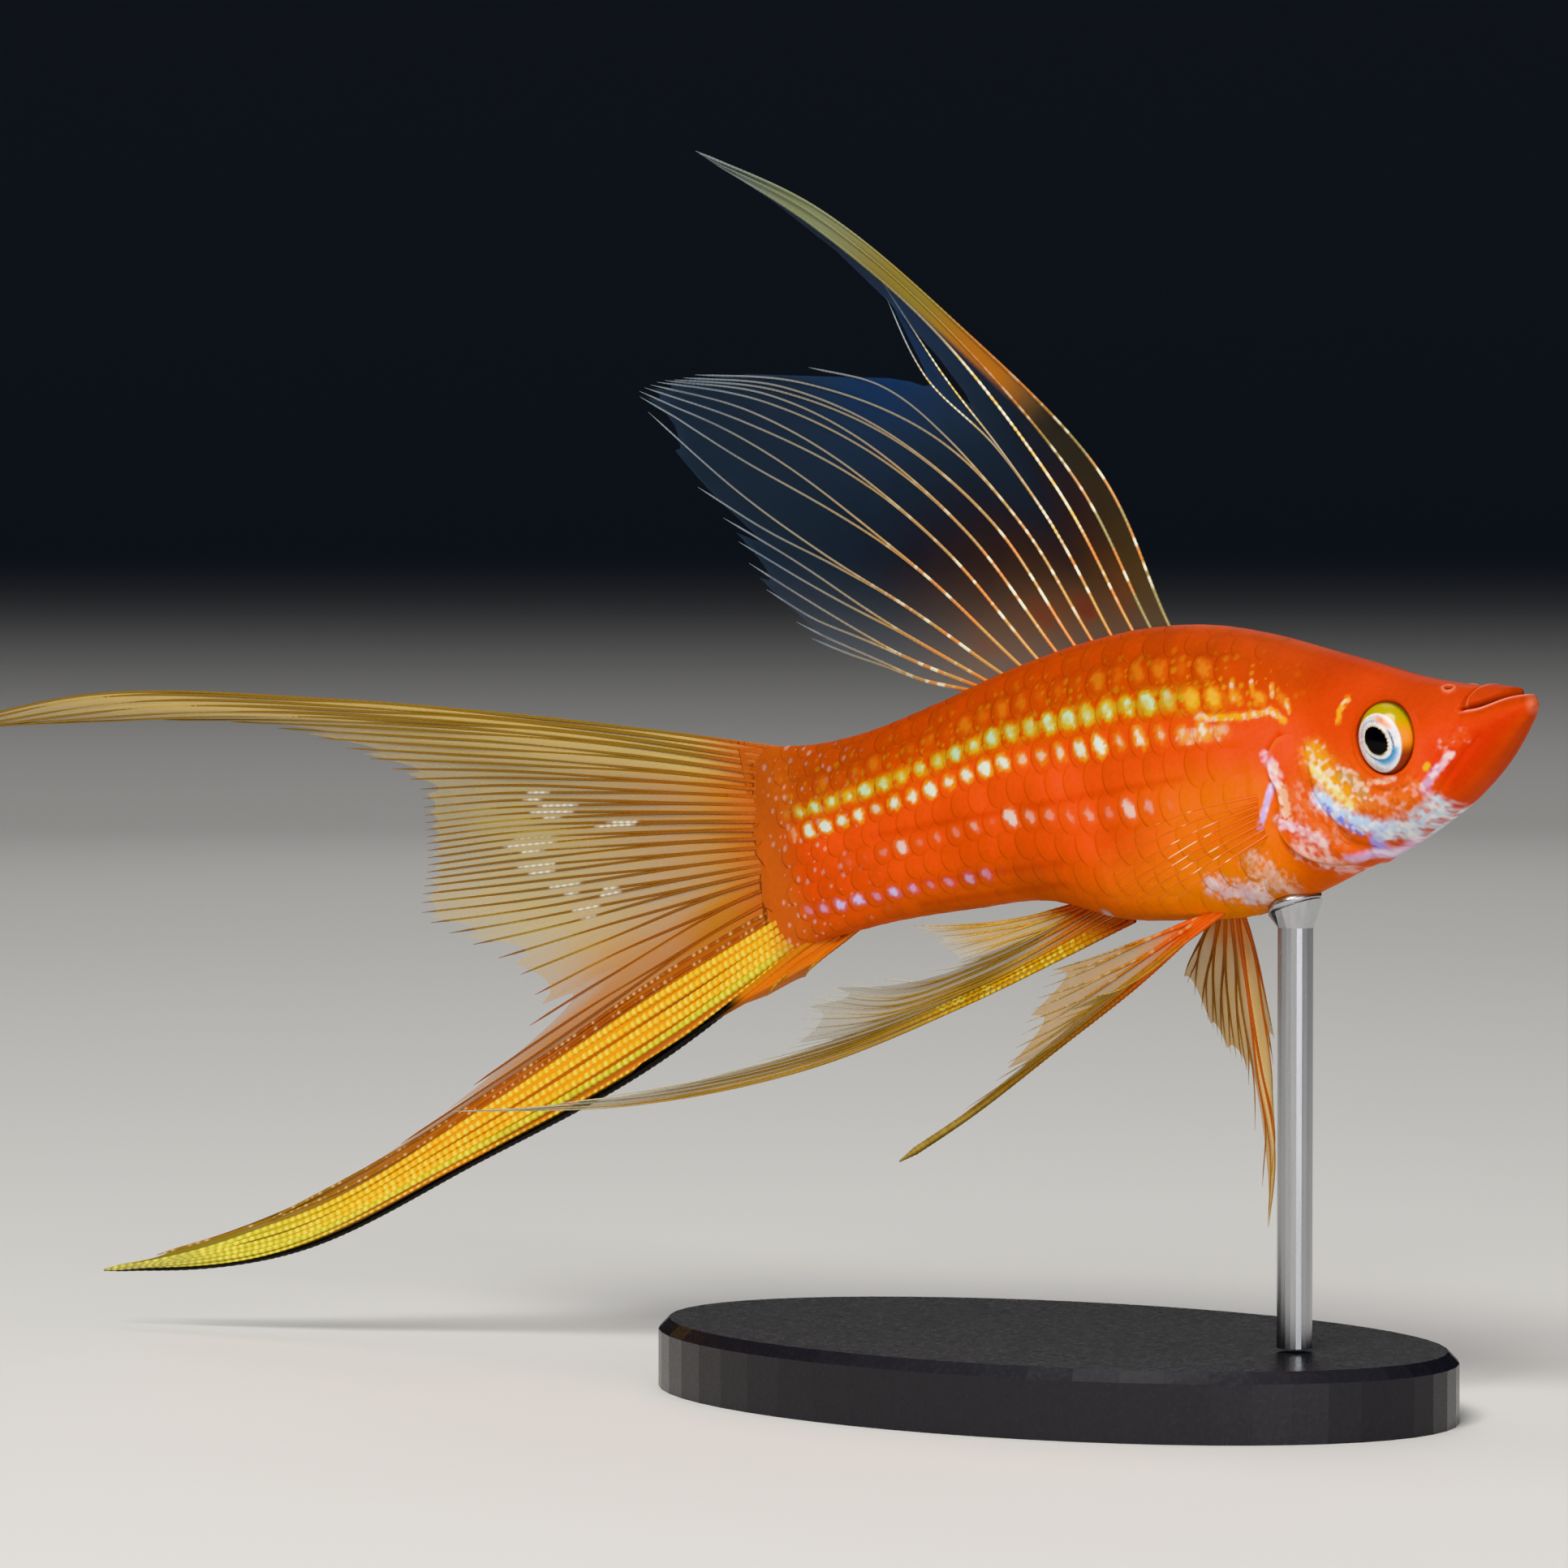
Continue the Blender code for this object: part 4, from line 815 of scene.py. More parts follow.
CAUDAL = Fin(
    {
        0.000: [(65.8, 6.9), (85.6, 12.1), (107.7, 17.3), (127.5, 20.9), (145.5, 20.2)],
        0.053: [(65.9, 6.1), (83.5, 10.9), (101.5, 15.0), (120.0, 18.4), (139.0, 20.0)],
        0.107: [(66.0, 5.3), (79.0, 8.9), (92.0, 12.0), (105.0, 14.7), (118.0, 17.2)],
        0.160: [(66.0, 4.3), (76.5, 6.9), (87.0, 9.2), (97.5, 11.3), (107.4, 13.3)],
        0.233: [(66.1, 3.2), (75.0, 4.9), (84.0, 6.5), (92.8, 7.9), (101.4, 8.8)],
        0.380: [(66.1, 0.6), (75.0, 1.7), (84.0, 2.6), (92.8, 3.3), (101.4, 3.6)],
        0.490: [(66.1, -1.3), (75.0, -1.1), (84.0, -0.9), (93.0, -0.7), (102.0, -0.3)],
        0.600: [(66.1, -2.7), (72.5, -3.8), (79.0, -5.3), (85.5, -7.1), (91.8, -9.2)],
        0.633: [(66.0, -3.4), (75.0, -5.8), (84.0, -8.9), (93.0, -12.4), (102.0, -16.2)],
        0.667: [(66.0, -4.1), (79.5, -8.0), (92.5, -13.0), (106.0, -18.2), (119.0, -22.4)],
        0.733: [(66.0, -5.1), (82.0, -10.2), (98.0, -16.2), (114.5, -22.0), (131.0, -23.9)],
        0.867: [(65.9, -7.2), (82.5, -13.6), (100.0, -19.3), (117.5, -24.2), (134.5, -24.2)],
        0.933: [(65.8, -7.8), (82.5, -14.9), (99.0, -19.9), (115.5, -24.6), (131.5, -25.1)],
        0.967: [(64.9, -8.5), (66.4, -9.1), (67.8, -9.8), (69.2, -10.5), (70.5, -11.1)],
        1.000: [(62.2, -8.0), (63.4, -8.6), (64.6, -9.2), (65.8, -9.7), (66.9, -10.2)],
    },
    31,
    lambda u, t: 1.1 * t * np.sin(7 * u + 3 * t),
    caudal_warp,
)
ANAL = Fin(
    {
        0.000: [(36.2, -10.4), (51.5, -14.2), (67.0, -17.0), (83.5, -17.6), (100.2, -15.9)],
        0.125: [(36.9, -10.2), (50.5, -13.6), (64.5, -16.2), (78.5, -17.1), (92.5, -16.6)],
        0.250: [(37.5, -10.0), (48.2, -12.8), (59.2, -15.1), (70.2, -16.3), (81.0, -16.8)],
        0.375: [(38.1, -9.7), (45.0, -11.8), (52.2, -13.4), (59.4, -14.6), (66.5, -15.1)],
        0.500: [(38.8, -9.4), (44.8, -11.3), (51.0, -12.8), (57.8, -13.7), (64.8, -12.4)],
        0.625: [(39.5, -9.1), (44.6, -10.6), (50.0, -11.9), (56.0, -12.7), (61.7, -11.3)],
        0.750: [(40.1, -8.9), (42.4, -9.6), (44.7, -10.2), (47.1, -10.8), (49.6, -11.3)],
        0.875: [(40.8, -8.7), (43.3, -9.1), (45.9, -9.4), (48.5, -9.6), (51.1, -9.6)],
        1.000: [(41.5, -8.5), (44.4, -8.7), (47.3, -8.7), (50.3, -8.4), (53.3, -8.0)],
    },
    9,
    lambda u, t: 0.4 * t * (1 + u) + 2.6 * t * t + 0.3 * t * np.sin(6 * u + 4 * t),
)
PELVIC_RIGHT = Fin(
    {
        0.0: [(26.9, -11.0), (29.4, -12.5), (31.9, -14.1), (34.1, -15.1), (36.1, -15.4)],
        0.2: [(27.3, -11.0), (30.0, -12.5), (32.8, -14.1), (35.6, -15.4), (38.4, -16.1)],
        0.4: [(27.7, -11.0), (34.0, -14.8), (41.0, -18.3), (48.6, -22.0), (55.9, -25.0)],
        0.6: [(28.1, -11.0), (32.2, -13.5), (36.4, -15.8), (40.8, -17.9), (45.1, -19.6)],
        0.8: [(28.5, -11.0), (31.9, -12.6), (35.4, -14.0), (38.9, -15.2), (42.3, -16.0)],
        1.0: [(29.0, -11.0), (31.6, -11.6), (34.2, -12.1), (36.9, -12.6), (39.6, -13.0)],
    },
    6,
    lambda u, t: 1.9 + 4.2 * t * (1 - 0.15 * u),
)
PELVIC_LEFT = Fin(
    {
        0.0: [(27.2, -11.0), (27.3, -13.2), (27.6, -15.6), (28.0, -17.8), (28.4, -20.0)],
        0.2: [(27.7, -11.0), (28.3, -16.8), (28.9, -22.6), (29.3, -28.4), (31.3, -33.9)],
        0.4: [(28.2, -11.0), (28.9, -14.0), (29.7, -17.0), (30.3, -19.8), (31.0, -22.3)],
        0.6: [(28.7, -11.0), (29.8, -13.6), (30.8, -16.0), (31.6, -18.3), (32.3, -20.4)],
        0.8: [(29.3, -11.0), (30.6, -12.9), (31.8, -14.8), (32.7, -16.7), (33.4, -18.4)],
        1.0: [(30.0, -11.0), (31.3, -11.9), (32.7, -12.8), (34.0, -13.7), (35.1, -14.6)],
    },
    6,
    lambda u, t: -(1.9 + 3.6 * t * (1 - 0.15 * u)),
)


def pectoral(side):
    return Fin(
        {
            0.0: [(20.8, -3.4), (23.6, -3.6), (26.4, -4.1), (29.2, -4.9), (31.8, -6.0)],
            0.5: [(21.0, -4.9), (23.7, -5.8), (26.3, -6.9), (28.9, -8.1), (31.2, -9.4)],
            1.0: [(20.8, -6.5), (22.4, -7.4), (23.9, -8.3), (25.2, -9.2), (26.2, -10.0)],
        },
        8,
        lambda u, t: side * (skin_w(21.0, -3.4 - 3.2 * u) + 0.5 + 4.6 * t - 1.0 * t * t),
    )


RAY_STEP, RAY_REACH, RAY_SIDES = 0.15, 0.985, 6
WEB_STEP, WEB_REACH, WEB_COLUMNS, WEB_HOLLOW = 0.6, 0.97, 9, 0.02
TAIL_BEAD = 0.66  # from joint to joint along a tail ray


def tube(centre, radius, flat):
    """Rings of points round a line of points, in millimetres."""
    ahead = unit(np.gradient(centre, axis=0))
    across = unit(np.cross(ahead, (0.0, 1.0, 0.0)))
    beside = flat * np.cross(ahead, across)
    turn = round_angles(RAY_SIDES)[:, None]
    ring = across[:, None] * np.cos(turn) + beside[:, None] * np.sin(turn)
    return centre[:, None] + radius[:, None, None] * ring


def root_depth(u):
    """How far a ray's foot runs on into the body. The last ones of a fan lie flatter, and run further."""
    return 0.9 + 1.6 * ease(0.92, 0.96, u)


def add_parts(name, nodes, parts, material, kind):
    """One mesh of many grids, each with its points, faces, colours, values of this kind and texture."""
    points, faces, tints, values, uvs = zip(*parts)
    starts = np.cumsum([0, *map(len, points)])
    faces = np.concatenate([quads + start for quads, start in zip(faces, starts)])
    values = {kind: np.concatenate(values)}
    made = add(name, np.concatenate(points), faces, material, np.concatenate(tints),
               uv=np.concatenate(uvs), **values)
    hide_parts(*nodes)


def build_rays(name, nodes, fin, material, look, thick, forks, bead=0.45, flat=1.0):
    """Jointed rays that taper and split. thick gives a ray's radius at foot and tip, forks its splits."""
    parts = []
    gap, lanes = fin.rays[1] - fin.rays[0], len(fin.rays) * 4
    for number, u in enumerate(fin.rays):
        length, splits = fin.lengths[number], forks(number)
        low, high = thick(number)
        for branch, turns in enumerate(itertools.product((-0.5, 0.5), repeat=len(splits))):
            # The first twig is the whole ray. Each other starts where it leaves the one before it.
            begin = max((at - 0.02 for at, turn in zip(splits, turns) if turn > 0), default=0.0)
            t = np.linspace(begin, RAY_REACH, max(8, int(length * (1 - begin) / RAY_STEP)))
            lean, wide = 0 * t, low + (high - low) * t
            for order, (at, turn) in enumerate(zip(splits, turns)):
                lean += turn * 0.5 ** (order + 1) * ease(at - 0.02, min(1.0, at + 0.55), t)
                wide = wide * (1 - 0.22 * ease(at, at + 0.12, t))
            wide = wide * np.minimum(1.0, 0.2 + (RAY_REACH - t) * length / 2.0)
            where = fin.at(np.clip(u + lean * gap, 0, 1), t)
            line, out = place(*where.T), t * length
            joint = peak((out / bead) % 1.0, 0.5, 0.14)
            if branch == 0:
                foot = line[0] + unit(line[0] - line[3]) * root_depth(u)
                line, where = np.concatenate([[foot], line]), np.concatenate([where[:1], where])
                t, out, joint, wide = (np.append(values[0], values) for values in (t, out, joint, wide))
            rings = tube(line, wide * (1 - 0.16 * joint), flat)
            colour, shine = look(number, u, t, out, joint, where)
            lane = (number * 4 + branch % 4 + 0.5 + np.linspace(-0.3, 0.3, RAY_SIDES)) / lanes
            parts.append((
                rings.reshape(-1, 3), grid_faces(len(line), RAY_SIDES, closed=True),
                np.repeat(colour, RAY_SIDES, axis=0), np.repeat(shine, RAY_SIDES),
                grid_uv(0.02 + 0.96 * t[:, None], lane),
            ))
    add_parts(name, nodes, parts, material, "shine")


def build_web(name, nodes, fin, material, look, pull=lambda n: 0.4):
    """The membrane between the rays, with a hollow edge from tip to tip."""
    parts = []
    v = np.linspace(0, 1, WEB_COLUMNS)
    for number, (first, second) in enumerate(zip(fin.lengths[:-1], fin.lengths[1:])):
        short, long = min(first, second), max(first, second)
        rows = int(long / WEB_STEP)
        deep = WEB_HOLLOW + pull(number) * (1 - short / long)
        skewed = v if first < second else 1 - v
        reach = WEB_REACH - deep * np.sin(math.pi * skewed**0.6) ** 0.9
        if long > 4 * short:  # this web ends soon on the longer ray
            reach = WEB_REACH + (1.6 * short / long - WEB_REACH) * skewed**0.7
        t = np.linspace(0, 1, rows)[:, None] * reach
        u = fin.rays[number] + (fin.rays[number + 1] - fin.rays[number]) * v + 0 * t
        where = fin.at(u, t)
        sag = 0.10 * np.sin(math.pi * v) * np.sin(0.9 * number + 2.2 * t * long / 10)
        line = place(where[..., 0], where[..., 1], where[..., 2] + sag)
        line[0] += unit(line[0] - line[2]) * root_depth(u[0])[:, None]
        colour, cover = look(number, u, t, v + 0 * t, t / reach, where)
        lane = 0.02 + 0.96 * (number + 0.04 + 0.92 * v) / (len(fin.rays) - 1)
        parts.append((
            line.reshape(-1, 3), grid_faces(rows, WEB_COLUMNS), colour.reshape(-1, 3),
            np.broadcast_to(cover, t.shape).ravel(), grid_uv(0.02 + 0.96 * t, lane),
        ))
    add_parts(name, nodes, parts, material, "cover")


# What gives a fin its colours. A ray's: its number and place u across the fin; t, and the same in
# millimetres, out along it; 1 on its joints; the places. It gives the colour and how pearly it is.
# A web's: the number of the ray before it; u and t; v across from that ray; the share of the way to
# its edge; the places. It gives the colour and how much it covers what lies behind.


def dorsal_ray(number, u, t, out, joint, where):
    grain, warm = noise(where, 0.45), noise(where + 9, 2.2)
    base = mix(
        (208, 158, 90),
        (184, 148, 96), ease(0.05, 0.3, t),
        (150, 142, 124), ease(0.3, 0.6, t),
        (132, 142, 150), ease(0.6, 0.95, t),
    )
    if number < 2:
        base = mix((160, 146, 98), band_colour(t), ease(0.2, 0.34, t))
    if number == 2:
        base = mix(base, band_colour(t), ease(0.52, 0.66, t))
    base = mix(base, (238, 132, 52), 0.6 * ease(0.45, 0.6, warm) * ease(0.40, 0.10, t))
    spark = ease(0.60, 0.70, grain) * ease(0.5, 0.1, t) * ease(0.03, 0.08, t)
    if number == 2:
        spark = np.maximum(spark, ease(0.14, 0.2, t) * ease(0.5, 0.42, t) * (1 - joint))
    if number == 3:
        lit = peak(t, 0.28, 0.05) + peak(t, 0.68, 0.10)
        spark = np.maximum(spark, np.clip(1.3 * lit, 0, 1) * (1 - joint))
    base = mix(base, mix((255, 214, 110), (255, 250, 220), ease(0.35, 0.6, grain)), spark)
    return darken(base, 0.4 * joint * (1 - spark)), 0.1 + 0.3 * spark


def band_colour(t):
    """The streamer's solid band: olive, an orange stretch, then gold that pales to grey at the tip."""
    return mix(
        (126, 108, 52),
        (178, 112, 48), ease(0.28, 0.40, t),
        (146, 128, 66), ease(0.44, 0.56, t),
        (140, 146, 112), ease(0.58, 0.76, t),
        (134, 144, 142), ease(0.78, 0.95, t),
    )


# How red the web is near its foot, by its number from the front
RED_CELLS = {1: 0.35, 3: 1.0, 4: 0.3, 5: 0.8, 6: 0.25, 8: 0.35}


def dorsal_web(number, u, t, v, edge, where):
    s, h = where[..., 0], where[..., 1]
    # Painted sheen: a dark bluish patch near the notch, where the web also covers more
    blue = peak(s, 51.5, 7.5) * peak(h, 33, 6.5)
    front = ease(0.09, 0.075, u)
    solid = ease(0.170, 0.165, u) * ease(0.30, 0.42, t - 2.2 * np.maximum(0, u - 0.083))
    red = RED_CELLS.get(number, 0.0) * ease(0.02, 0.05, t) * ease(0.13, 0.06, t) * np.sin(math.pi * v) ** 0.5
    base = mix(
        (160, 104, 46),
        (84, 100, 122), ease(0.04, 0.40, t),
        (44, 70, 116), 0.9 * blue,
        (116, 102, 56), 0.6 * front,
        band_colour(t), solid,
        (140, 46, 14), 0.9 * red,
    )
    cover = 0.12 + 0.12 * ease(0.2, 0.0, t) + 0.08 * ease(0.3, 0.7, t) + 0.06 * front + 0.34 * blue
    cover = cover + 0.3 * red + 0.08 * ease(0.93, 1.0, edge) + 0.05 * (noise(where, 0.8) - 0.5)
    return base, np.clip(np.maximum(cover, 0.93 * solid), 0.03, 0.95)


# Clusters of white streaks on the tail's rays: middle s and h, half length, half height
WHITE_STREAKS = [
    (90.6, 7.0, 2.0, 0.5), (88.4, 5.6, 2.3, 0.6), (91.2, 3.4, 2.4, 0.7), (91.0, 1.4, 2.0, 0.6),
    (89.0, -0.5, 2.1, 0.7), (86.6, -2.4, 1.3, 0.6), (82.6, 3.6, 2.2, 0.35), (84.2, -1.4, 1.0, 0.5),
]


# Where the lower tail's bands of rays begin across the fan, and the last rays at its foot
ORANGE_FROM, YELLOW_FROM, BLACK_FROM, FOOT_FROM = 0.65, 0.72, 0.92, 0.95


def caudal_ray(number, u, t, out, joint, where):
    s, h = where[:, 0], where[:, 1]
    grain = noise(where, 0.42)
    # 1 in the middle of each segment between the joints, where pale painted highlights are laid
    bead = 0.5 + 0.5 * np.cos(2 * math.pi * out / TAIL_BEAD)
    base = mix(
        (158, 98, 38),
        (146, 106, 46), ease(74, 92, s),
        (148, 114, 48), ease(0.21, 0.13, u) * ease(68, 78, s),
        (166, 82, 26), 0.8 * ease(0.54, 0.61, u),
    )
    foot, lit, joints = 0.9 * ease(75, 67, s), 0 * s, 0.35
    for middle, height, half, tall in WHITE_STREAKS:
        lit = np.maximum(lit, ease(1.2, 0.8, np.hypot((s - middle) / half, (h - height) / tall)))
    lit = lit * ease(0.30, 0.42, noise(np.stack([0.5 * s, 2.2 * h, 3 + 0 * s], axis=-1), 1.0))
    if u > ORANGE_FROM:
        foot, lit, joints = 0.6 * ease(70, 67, s), 0 * s, 0.0
    if ORANGE_FROM < u < YELLOW_FROM:
        base = mix((170, 84, 24), (168, 122, 46), ease(96, 116, s))
        # Painted highlights: pale specks in the middles of the segments
        base = mix(base, (255, 220, 160), 0.7 * ease(0.42, 0.6, grain) * bead**2)
    if YELLOW_FROM < u < BLACK_FROM:
        base = mix(
            (255, 188, 0),
            (206, 200, 50), ease(0.84, 0.86, u),
            (222, 126, 20), ease(0.88, 0.89, u),
            (206, 206, 70), ease(104, 122, s),
            (168, 172, 96), ease(120, 132, s),
            # Painted highlight: pale yellow in the middle of each segment
            (255, 240, 120), (0.5 + 0.4 * ease(0.3, 0.6, grain)) * bead,
            (226, 144, 4), 0.4 * joint,
        )
    base = mix(base, TAIL_ROOT, foot)
    if BLACK_FROM < u < FOOT_FROM:
        base = mix((216, 130, 20), BLACK_EDGE, ease(72.0, 74.0, s))
    if u > FOOT_FROM:
        base = mix((214, 110, 30), (222, 170, 40), ease(0.3, 0.8, t) * (1 - joint))
    base = mix(base, (252, 250, 236), 0.95 * lit * (0.55 + 0.45 * bead))
    return darken(base, joints * joint * (1 - lit)), 0.1 + 0.2 * lit


def caudal_web(number, u, t, v, edge, where):
    s = where[..., 0]
    upper, low, sword = ease(0.215, 0.135, u), ease(0.54, 0.63, u), ease(0.660, 0.672, u)
    black = ease(0.910, 0.916, u) * ease(72.0, 74.0, s)
    broad = 0.85 if number in (22, 24) else 0.0  # two rows that run together into one broad band
    base = mix(
        (202, 144, 62),
        (202, 174, 96), ease(72, 92, s),
        (202, 174, 108), upper,
        (190, 122, 46), low,
        mix((182, 96, 14), (140, 122, 44), ease(98, 126, s)), sword,
        mix((246, 168, 6), (190, 180, 60), ease(100, 124, s)), broad,
        (232, 128, 16), ease(0.885, 0.895, u) * ease(108, 92, s),
        BLACK_EDGE, black,
        TAIL_ROOT, ease(75, 67, s) * (1 - 0.6 * sword),
    )
    cover = 0.58 + 0.40 * ease(80, 70, s) + 0.20 * upper + 0.25 * low
    cover = np.maximum(cover, 0.97 * np.maximum(sword, black))
    fade = 1 - 0.45 * ease(0.75, 1.0, edge) * (1 - sword)
    return base, np.clip(cover * fade + 0.1 * (noise(where, 0.9) - 0.5), 0.05, 0.98)


def anal_ray(number, u, t, out, joint, where):
    grain = noise(where, 0.4)
    base = mix((204, 116, 40), (190, 150, 72), ease(0.05, 0.3, t), (196, 190, 164), ease(0.66, 0.92, t))
    if number <= 2:
        gold = ease(58, 50, where[:, 0])
        base = mix(
            base,
            (228, 174, 14), gold * (0.9 if number < 2 else 0.6),
            (255, 236, 110), 0.7 * gold * ease(0.45, 0.65, grain) * (1 - joint),
            (120, 60, 8), 0.7 * gold * joint,
        )
    if number >= 7:
        base = mix(base, (216, 176, 100), 0.5 * ease(0.45, 0.6, grain))
    base = mix(base, (196, 80, 20), ease(0.10, 0.0, t))
    return darken(base, 0.25 * joint), 0.1 * ease(0.5, 0.7, grain)


def anal_web(number, u, t, v, edge, where):
    front = ease(0.3, 0.1, u)
    base = mix(
        (200, 130, 50),
        (186, 152, 74), ease(0.05, 0.35, t),
        (176, 168, 148), ease(0.66, 0.95, t),
        (186, 150, 40), 0.7 * front * ease(0.6, 0.3, t),
    )
    cover = 0.62 + 0.3 * ease(0.2, 0.0, t) + 0.25 * front * ease(0.6, 0.2, t) - 0.15 * ease(0.6, 1.0, edge)
    return base, np.clip(cover + 0.1 * (noise(where, 0.8) - 0.5), 0.05, 0.95)


def pelvic_near_ray(number, u, t, out, joint, where):
    grain = noise(where, 0.4)
    base = mix(
        (232, 98, 22),
        (196, 128, 52), ease(0.12, 0.45, t),
        (178, 150, 80), ease(0.4, 0.8, t),
        (130, 72, 24), 0.4 * joint * ease(0.1, 0.3, t),
    )
    if u > 0.7:
        base = mix(base, (240, 214, 160), 0.5 * ease(0.5, 0.65, grain))
    return base, 0.3 * ease(0.55, 0.7, grain)


def pelvic_near_web(number, u, t, v, edge, where):
    base = mix((228, 112, 26), (184, 138, 54), ease(0.08, 0.45, t))
    return base, np.clip(0.62 + 0.35 * ease(0.4, 0.0, t) + 0.12 * (noise(where, 0.7) - 0.5), 0.05, 0.95)


def pelvic_far_ray(number, u, t, out, joint, where):
    front = 0.8 if number <= 1 else 0.0
    base = mix(
        (196, 96, 28),
        (156, 92, 28), ease(0.0, 0.3, t),
        (206, 92, 28), front,
        (190, 140, 66), ease(0.55, 0.9, t),
    )
    return darken(base, 0.4 * joint), 0.1 + 0 * t


def pelvic_far_web(number, u, t, v, edge, where):
    base = mix((226, 146, 56), (224, 178, 84), ease(0.05, 0.4, t))
    return base, np.clip(0.78 + 0.15 * ease(0.3, 0.0, t) + 0.12 * (noise(where, 0.7) - 0.5), 0.05, 0.95)


def pectoral_ray(number, u, t, out, joint, where):
    lit = ease(0.55, 0.65, noise(where, 0.6)) * ease(0.15, 0.25, t) * ease(0.6, 0.45, t)
    return mix((238, 108, 30), (226, 104, 36), ease(0.1, 0.7, t), (255, 226, 190), 0.8 * lit), 0.1 + 0 * t


def pectoral_web(number, u, t, v, edge, where):
    base = mix((244, 130, 40), (240, 190, 140), ease(0.05, 0.5, t))
    return base, 0.02 + 0.20 * ease(0.2, 0.0, t) + 0.03 * ease(0.94, 1.0, edge)


def caudal_forks(number):
    if number > 19:
        return ()
    return (0.06,) if number < 6 else (0.16,)


def caudal_thick(number):
    thin = {20: (0.19, 0.10), 21: (0.20, 0.10), 27: (0.18, 0.12), 29: (0.20, 0.10), 30: (0.20, 0.10)}
    return (0.18, 0.10) if number < 20 else thin.get(number, (0.36, 0.18))


def build_fins():
    clear = dict(see_through=True, metal=False, roughness=0.3, grain=0.18, bump=0.05)
    stiff = dict(roughness=0.36, grain=0.2, bump=0.02, coat=0.3)
    dorsal = ["dorsal_streamer", "dorsal_sail"]
    build_rays("dorsal_rays", dorsal, DORSAL, finish("dorsal_rays", "dorsal_fin", **stiff), dorsal_ray,
               lambda n: (0.15, 0.09), lambda n: (0.36 + 0.05 * (n % 2) - 0.014 * n,) if n > 2 else ())
    build_web("dorsal_web", dorsal, DORSAL, finish("dorsal_web", "dorsal_fin", **clear), dorsal_web,
              lambda n: {2: 0.9, 3: 1.1}.get(n, 0.4))
    tail = ["caudal_fin_upper", "caudal_fin_middle", "caudal_fin_lower"]
    build_rays("caudal_rays", tail, CAUDAL, finish("caudal_rays", "tail_fin", **stiff), caudal_ray,
               caudal_thick, caudal_forks, bead=TAIL_BEAD, flat=0.7)
    build_web("caudal_web", tail, CAUDAL, finish("caudal_web", "tail_fin", **clear), caudal_web,
              lambda n: 0.4 if n < 20 else 0.1)
    lower = finish("lower_rays", "lower_fins", **stiff)
    thin = finish("lower_webs", "lower_fins", **clear)
    build_rays("anal_rays", ["anal_fin"], ANAL, lower, anal_ray, lambda n: (0.20, 0.07),
               lambda n: (0.10, 0.5) if n > 1 else (0.05,), bead=0.6)
    build_web("anal_web", ["anal_fin"], ANAL, thin, anal_web)
    for fin, word, ray, web in ((PELVIC_RIGHT, "right", pelvic_near_ray, pelvic_near_web),
                                (PELVIC_LEFT, "left", pelvic_far_ray, pelvic_far_web)):
        ribbon = 2 if word == "right" else None  # its long ray stays whole, and broad to the tip
        build_rays("pelvic_rays_" + word, ["pelvic_fin_" + word], fin, lower, ray,
                   lambda n, ribbon=ribbon: (0.26, 0.30) if n == ribbon else (0.20, 0.06),
                   lambda n, ribbon=ribbon: () if n == ribbon else (0.12, 0.45))
        build_web("pelvic_web_" + word, ["pelvic_fin_" + word], fin, thin, web)
    glass = finish("pectoral_rays", "clear_fin", **stiff)
    sheer = finish("pectoral_webs", "clear_fin", **clear)
    for side, word in ((1, "right"), (-1, "left")):
        fin = pectoral(side)
        build_rays("pectoral_rays_" + word, ["pectoral_fin_" + word], fin, glass, pectoral_ray,
                   lambda n: (0.07, 0.03), lambda n: (0.5,))
        build_web("pectoral_web_" + word, ["pectoral_fin_" + word], fin, sheer, pectoral_web)


def plain_finish(name, colour, roughness, metallic, stretch):
    """A stand material: a plain colour with fine grain in its roughness and surface."""
    made, tree, shader = new_material(name)
    where = add_node(tree, "Mapping", "Vector", Vector=add_node(tree, "TexCoord", "Object"), Scale=stretch)
    grains = add_grain(tree, shader, where, 2500.0, 4.0, roughness - 0.06, roughness + 0.10, 0.02, 0.4)
    low, high = ([tone * c for c in colour] for tone in (0.8, 1.2))
    set_inputs(tree, shader, Base_Color=add_ramp(tree, grains, low, high), Metallic=metallic)
    return made


def dress_stand():
    acrylic = plain_finish("satin_acrylic", (0.035, 0.035, 0.04), 0.24, 0.0, (1, 1, 1))
    steel = plain_finish("brushed_steel", STEEL, 0.26, 1.0, (1, 1, 0.05))
    for name, material in (("stand_base", acrylic), ("stand_rod", steel)):
        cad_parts[name].material_slots[0].material = material


def build_rod_top():
    """A steel disc that carries the rod's sloping top on to the belly, across the narrow gap."""
    turn = round_angles(48)
    fore, belly, aft = (place(s, belly_h(s, 0.0), 0.0) for s in (ROD_S - 1, ROD_S, ROD_S + 1))
    slope = (fore[2] - aft[2]) / (fore[0] - aft[0])
    rings = []
    for radius, buried in ((0.001, False), (0.85, False), (1.0, False), (1.0, True), (0.001, True)):
        x, w = ROD_TOP_RADIUS * radius * np.cos(turn), ROD_TOP_RADIUS * radius * np.sin(turn)
        s = ROD_S - x / math.cos(PITCH)
        ring = place(s, belly_h(s, w) + ROD_TOP_SINKS, w)
        if not buried:
            ring[:, 2] = belly[2] - ROD_GAP + slope * (ring[:, 0] - belly[0])
        rings.append(ring)
    faces = grid_faces(len(rings), len(turn), closed=True)[:, ::-1]
    steel = finish("rod_top_steel", "stand_rod", roughness=0.3, bump=0.01)
    add("stand_rod_top", rings, faces, steel, STEEL, shine=1.0)


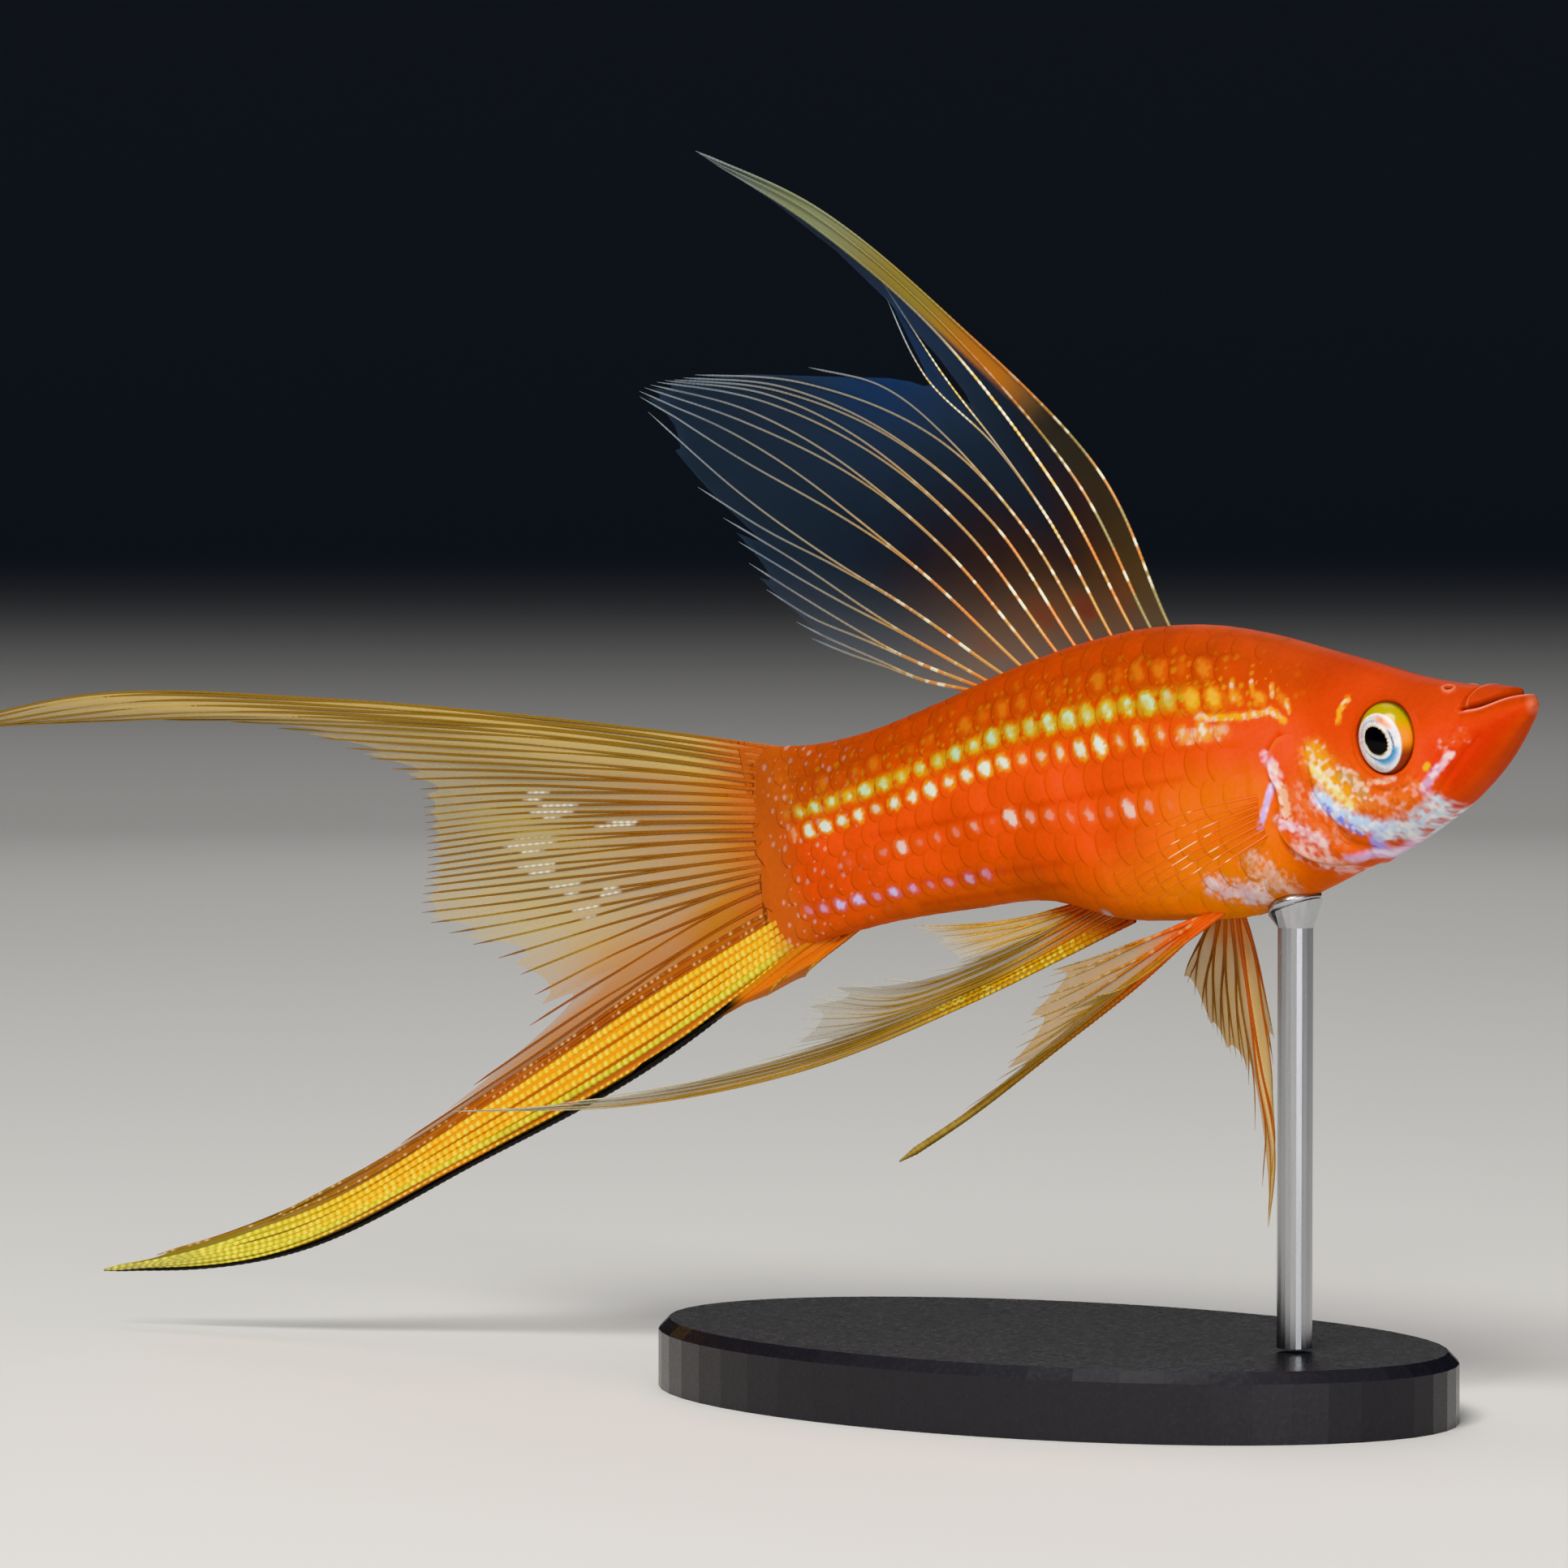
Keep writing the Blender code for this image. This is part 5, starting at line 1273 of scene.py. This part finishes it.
def build_stage():
    """A paper bowl: a flat floor that curves up into a wall all round and darkens there. Metres."""
    paper, tree, shader = new_material("studio_paper")
    height = add_node(tree, "SeparateXYZ", "Z", Vector=add_node(tree, "TexCoord", "Object"))
    share = add_node(tree, "MapRange", "Result", Value=height, From_Min=0.0, From_Max=0.06)
    tones = add_ramp(tree, share, (0.80, 0.79, 0.77), (0.055, 0.06, 0.07), "EASE")
    set_inputs(tree, shader, Base_Color=tones, Roughness=0.8)
    curve = [(1.0 + 0.5 * math.sin(a), 0.5 - 0.5 * math.cos(a)) for a in np.linspace(0, math.pi / 2, 24)]
    rings = [(0.0005, 0.0), (0.2, 0.0), (0.6, 0.0), *curve, (1.5, 1.1), (1.5, 1.6)]
    turn = round_angles(96)
    points = [(r * math.cos(a), r * math.sin(a), z) for r, z in rings for a in turn]
    faces = grid_faces(len(rings), len(turn), closed=True)[:, ::-1]
    mesh = bpy.data.meshes.new("studio_bowl")
    mesh.from_pydata(points, [], faces.tolist())
    mesh.shade_smooth()
    mesh.materials.append(paper)
    made = bpy.data.objects.new("studio_bowl", mesh)
    bpy.context.scene.collection.objects.link(made)


LIT_PLACE = (-0.02, 0.0, 0.05)  # what all the lights look at


def add_aimed(name, data, where, target):
    """An object at one place that looks at another. Metres."""
    made = bpy.data.objects.new(name, data)
    made.location = where
    made.rotation_mode = "QUATERNION"
    made.rotation_quaternion = Vector(np.subtract(target, where)).to_track_quat("-Z", "Y")
    bpy.context.scene.collection.objects.link(made)
    return made


def build_light():
    for name, where, size, power, colour in (
        ("key", (0.25, -0.75, 0.80), (0.45, 0.45), 11.0, (1.0, 0.97, 0.93)),
        ("fill", (0.9, -0.55, 0.25), (0.7, 0.5), 2.2, (0.95, 0.97, 1.0)),
        ("top", (-0.15, 0.10, 1.0), (0.6, 0.6), 1.7, (1.0, 1.0, 1.0)),
        ("rim", (-0.55, 0.75, 0.55), (0.5, 0.5), 0.9, (1.0, 0.98, 0.95)),
    ):
        data = bpy.data.lights.new(name, "AREA")
        data.shape = "RECTANGLE"
        data.size, data.size_y = size
        data.energy, data.color = power, colour
        add_aimed(name, data, where, LIT_PLACE)
    world = bpy.data.worlds.new("studio")
    world.use_nodes = True
    tree = world.node_tree
    set_inputs(tree, tree.nodes["Background"], Color=(0.75, 0.78, 0.82, 1), Strength=0.27)
    bpy.context.scene.world = world


def build_camera():
    """The photograph's view: 36 degrees round from broadside and 2 degrees up, 520 mm away."""
    yaw, up, distance = math.radians(36), math.radians(2), 0.520
    target = np.array([-23.73, 0.0, 44.07]) * MM
    back = np.array([math.sin(yaw) * math.cos(up), -math.cos(yaw) * math.cos(up), math.sin(up)])
    data = bpy.data.cameras.new("camera")
    data.sensor_width, data.lens = 36.0, 161.6
    data.clip_start, data.clip_end = 0.01, 10.0
    bpy.context.scene.camera = add_aimed("camera", data, target + back * distance, target)


def main():
    bpy.context.scene.view_settings.view_transform = "Khronos PBR Neutral"
    wet = finish("wet_skin", "skin", subsurface=0.12, coat=0.03, roughness=0.5, gloss=0.15)
    wet_cover = finish("wet_cover", "gill_cover", subsurface=0.10, coat=0.05, roughness=0.46, gloss=0.2)
    glossy = finish("wet_eye", "eye", coat=0.25, roughness=0.24, bump=0.004, gloss=0.25)
    build_skin(wet)
    build_scales(wet)
    for side, word in ((1, "right"), (-1, "left")):
        build_gill_cover(side, word, wet_cover)
        build_eye(side, word, glossy)
    build_fins()
    dress_stand()
    build_rod_top()
    build_stage()
    build_light()
    build_camera()


main()
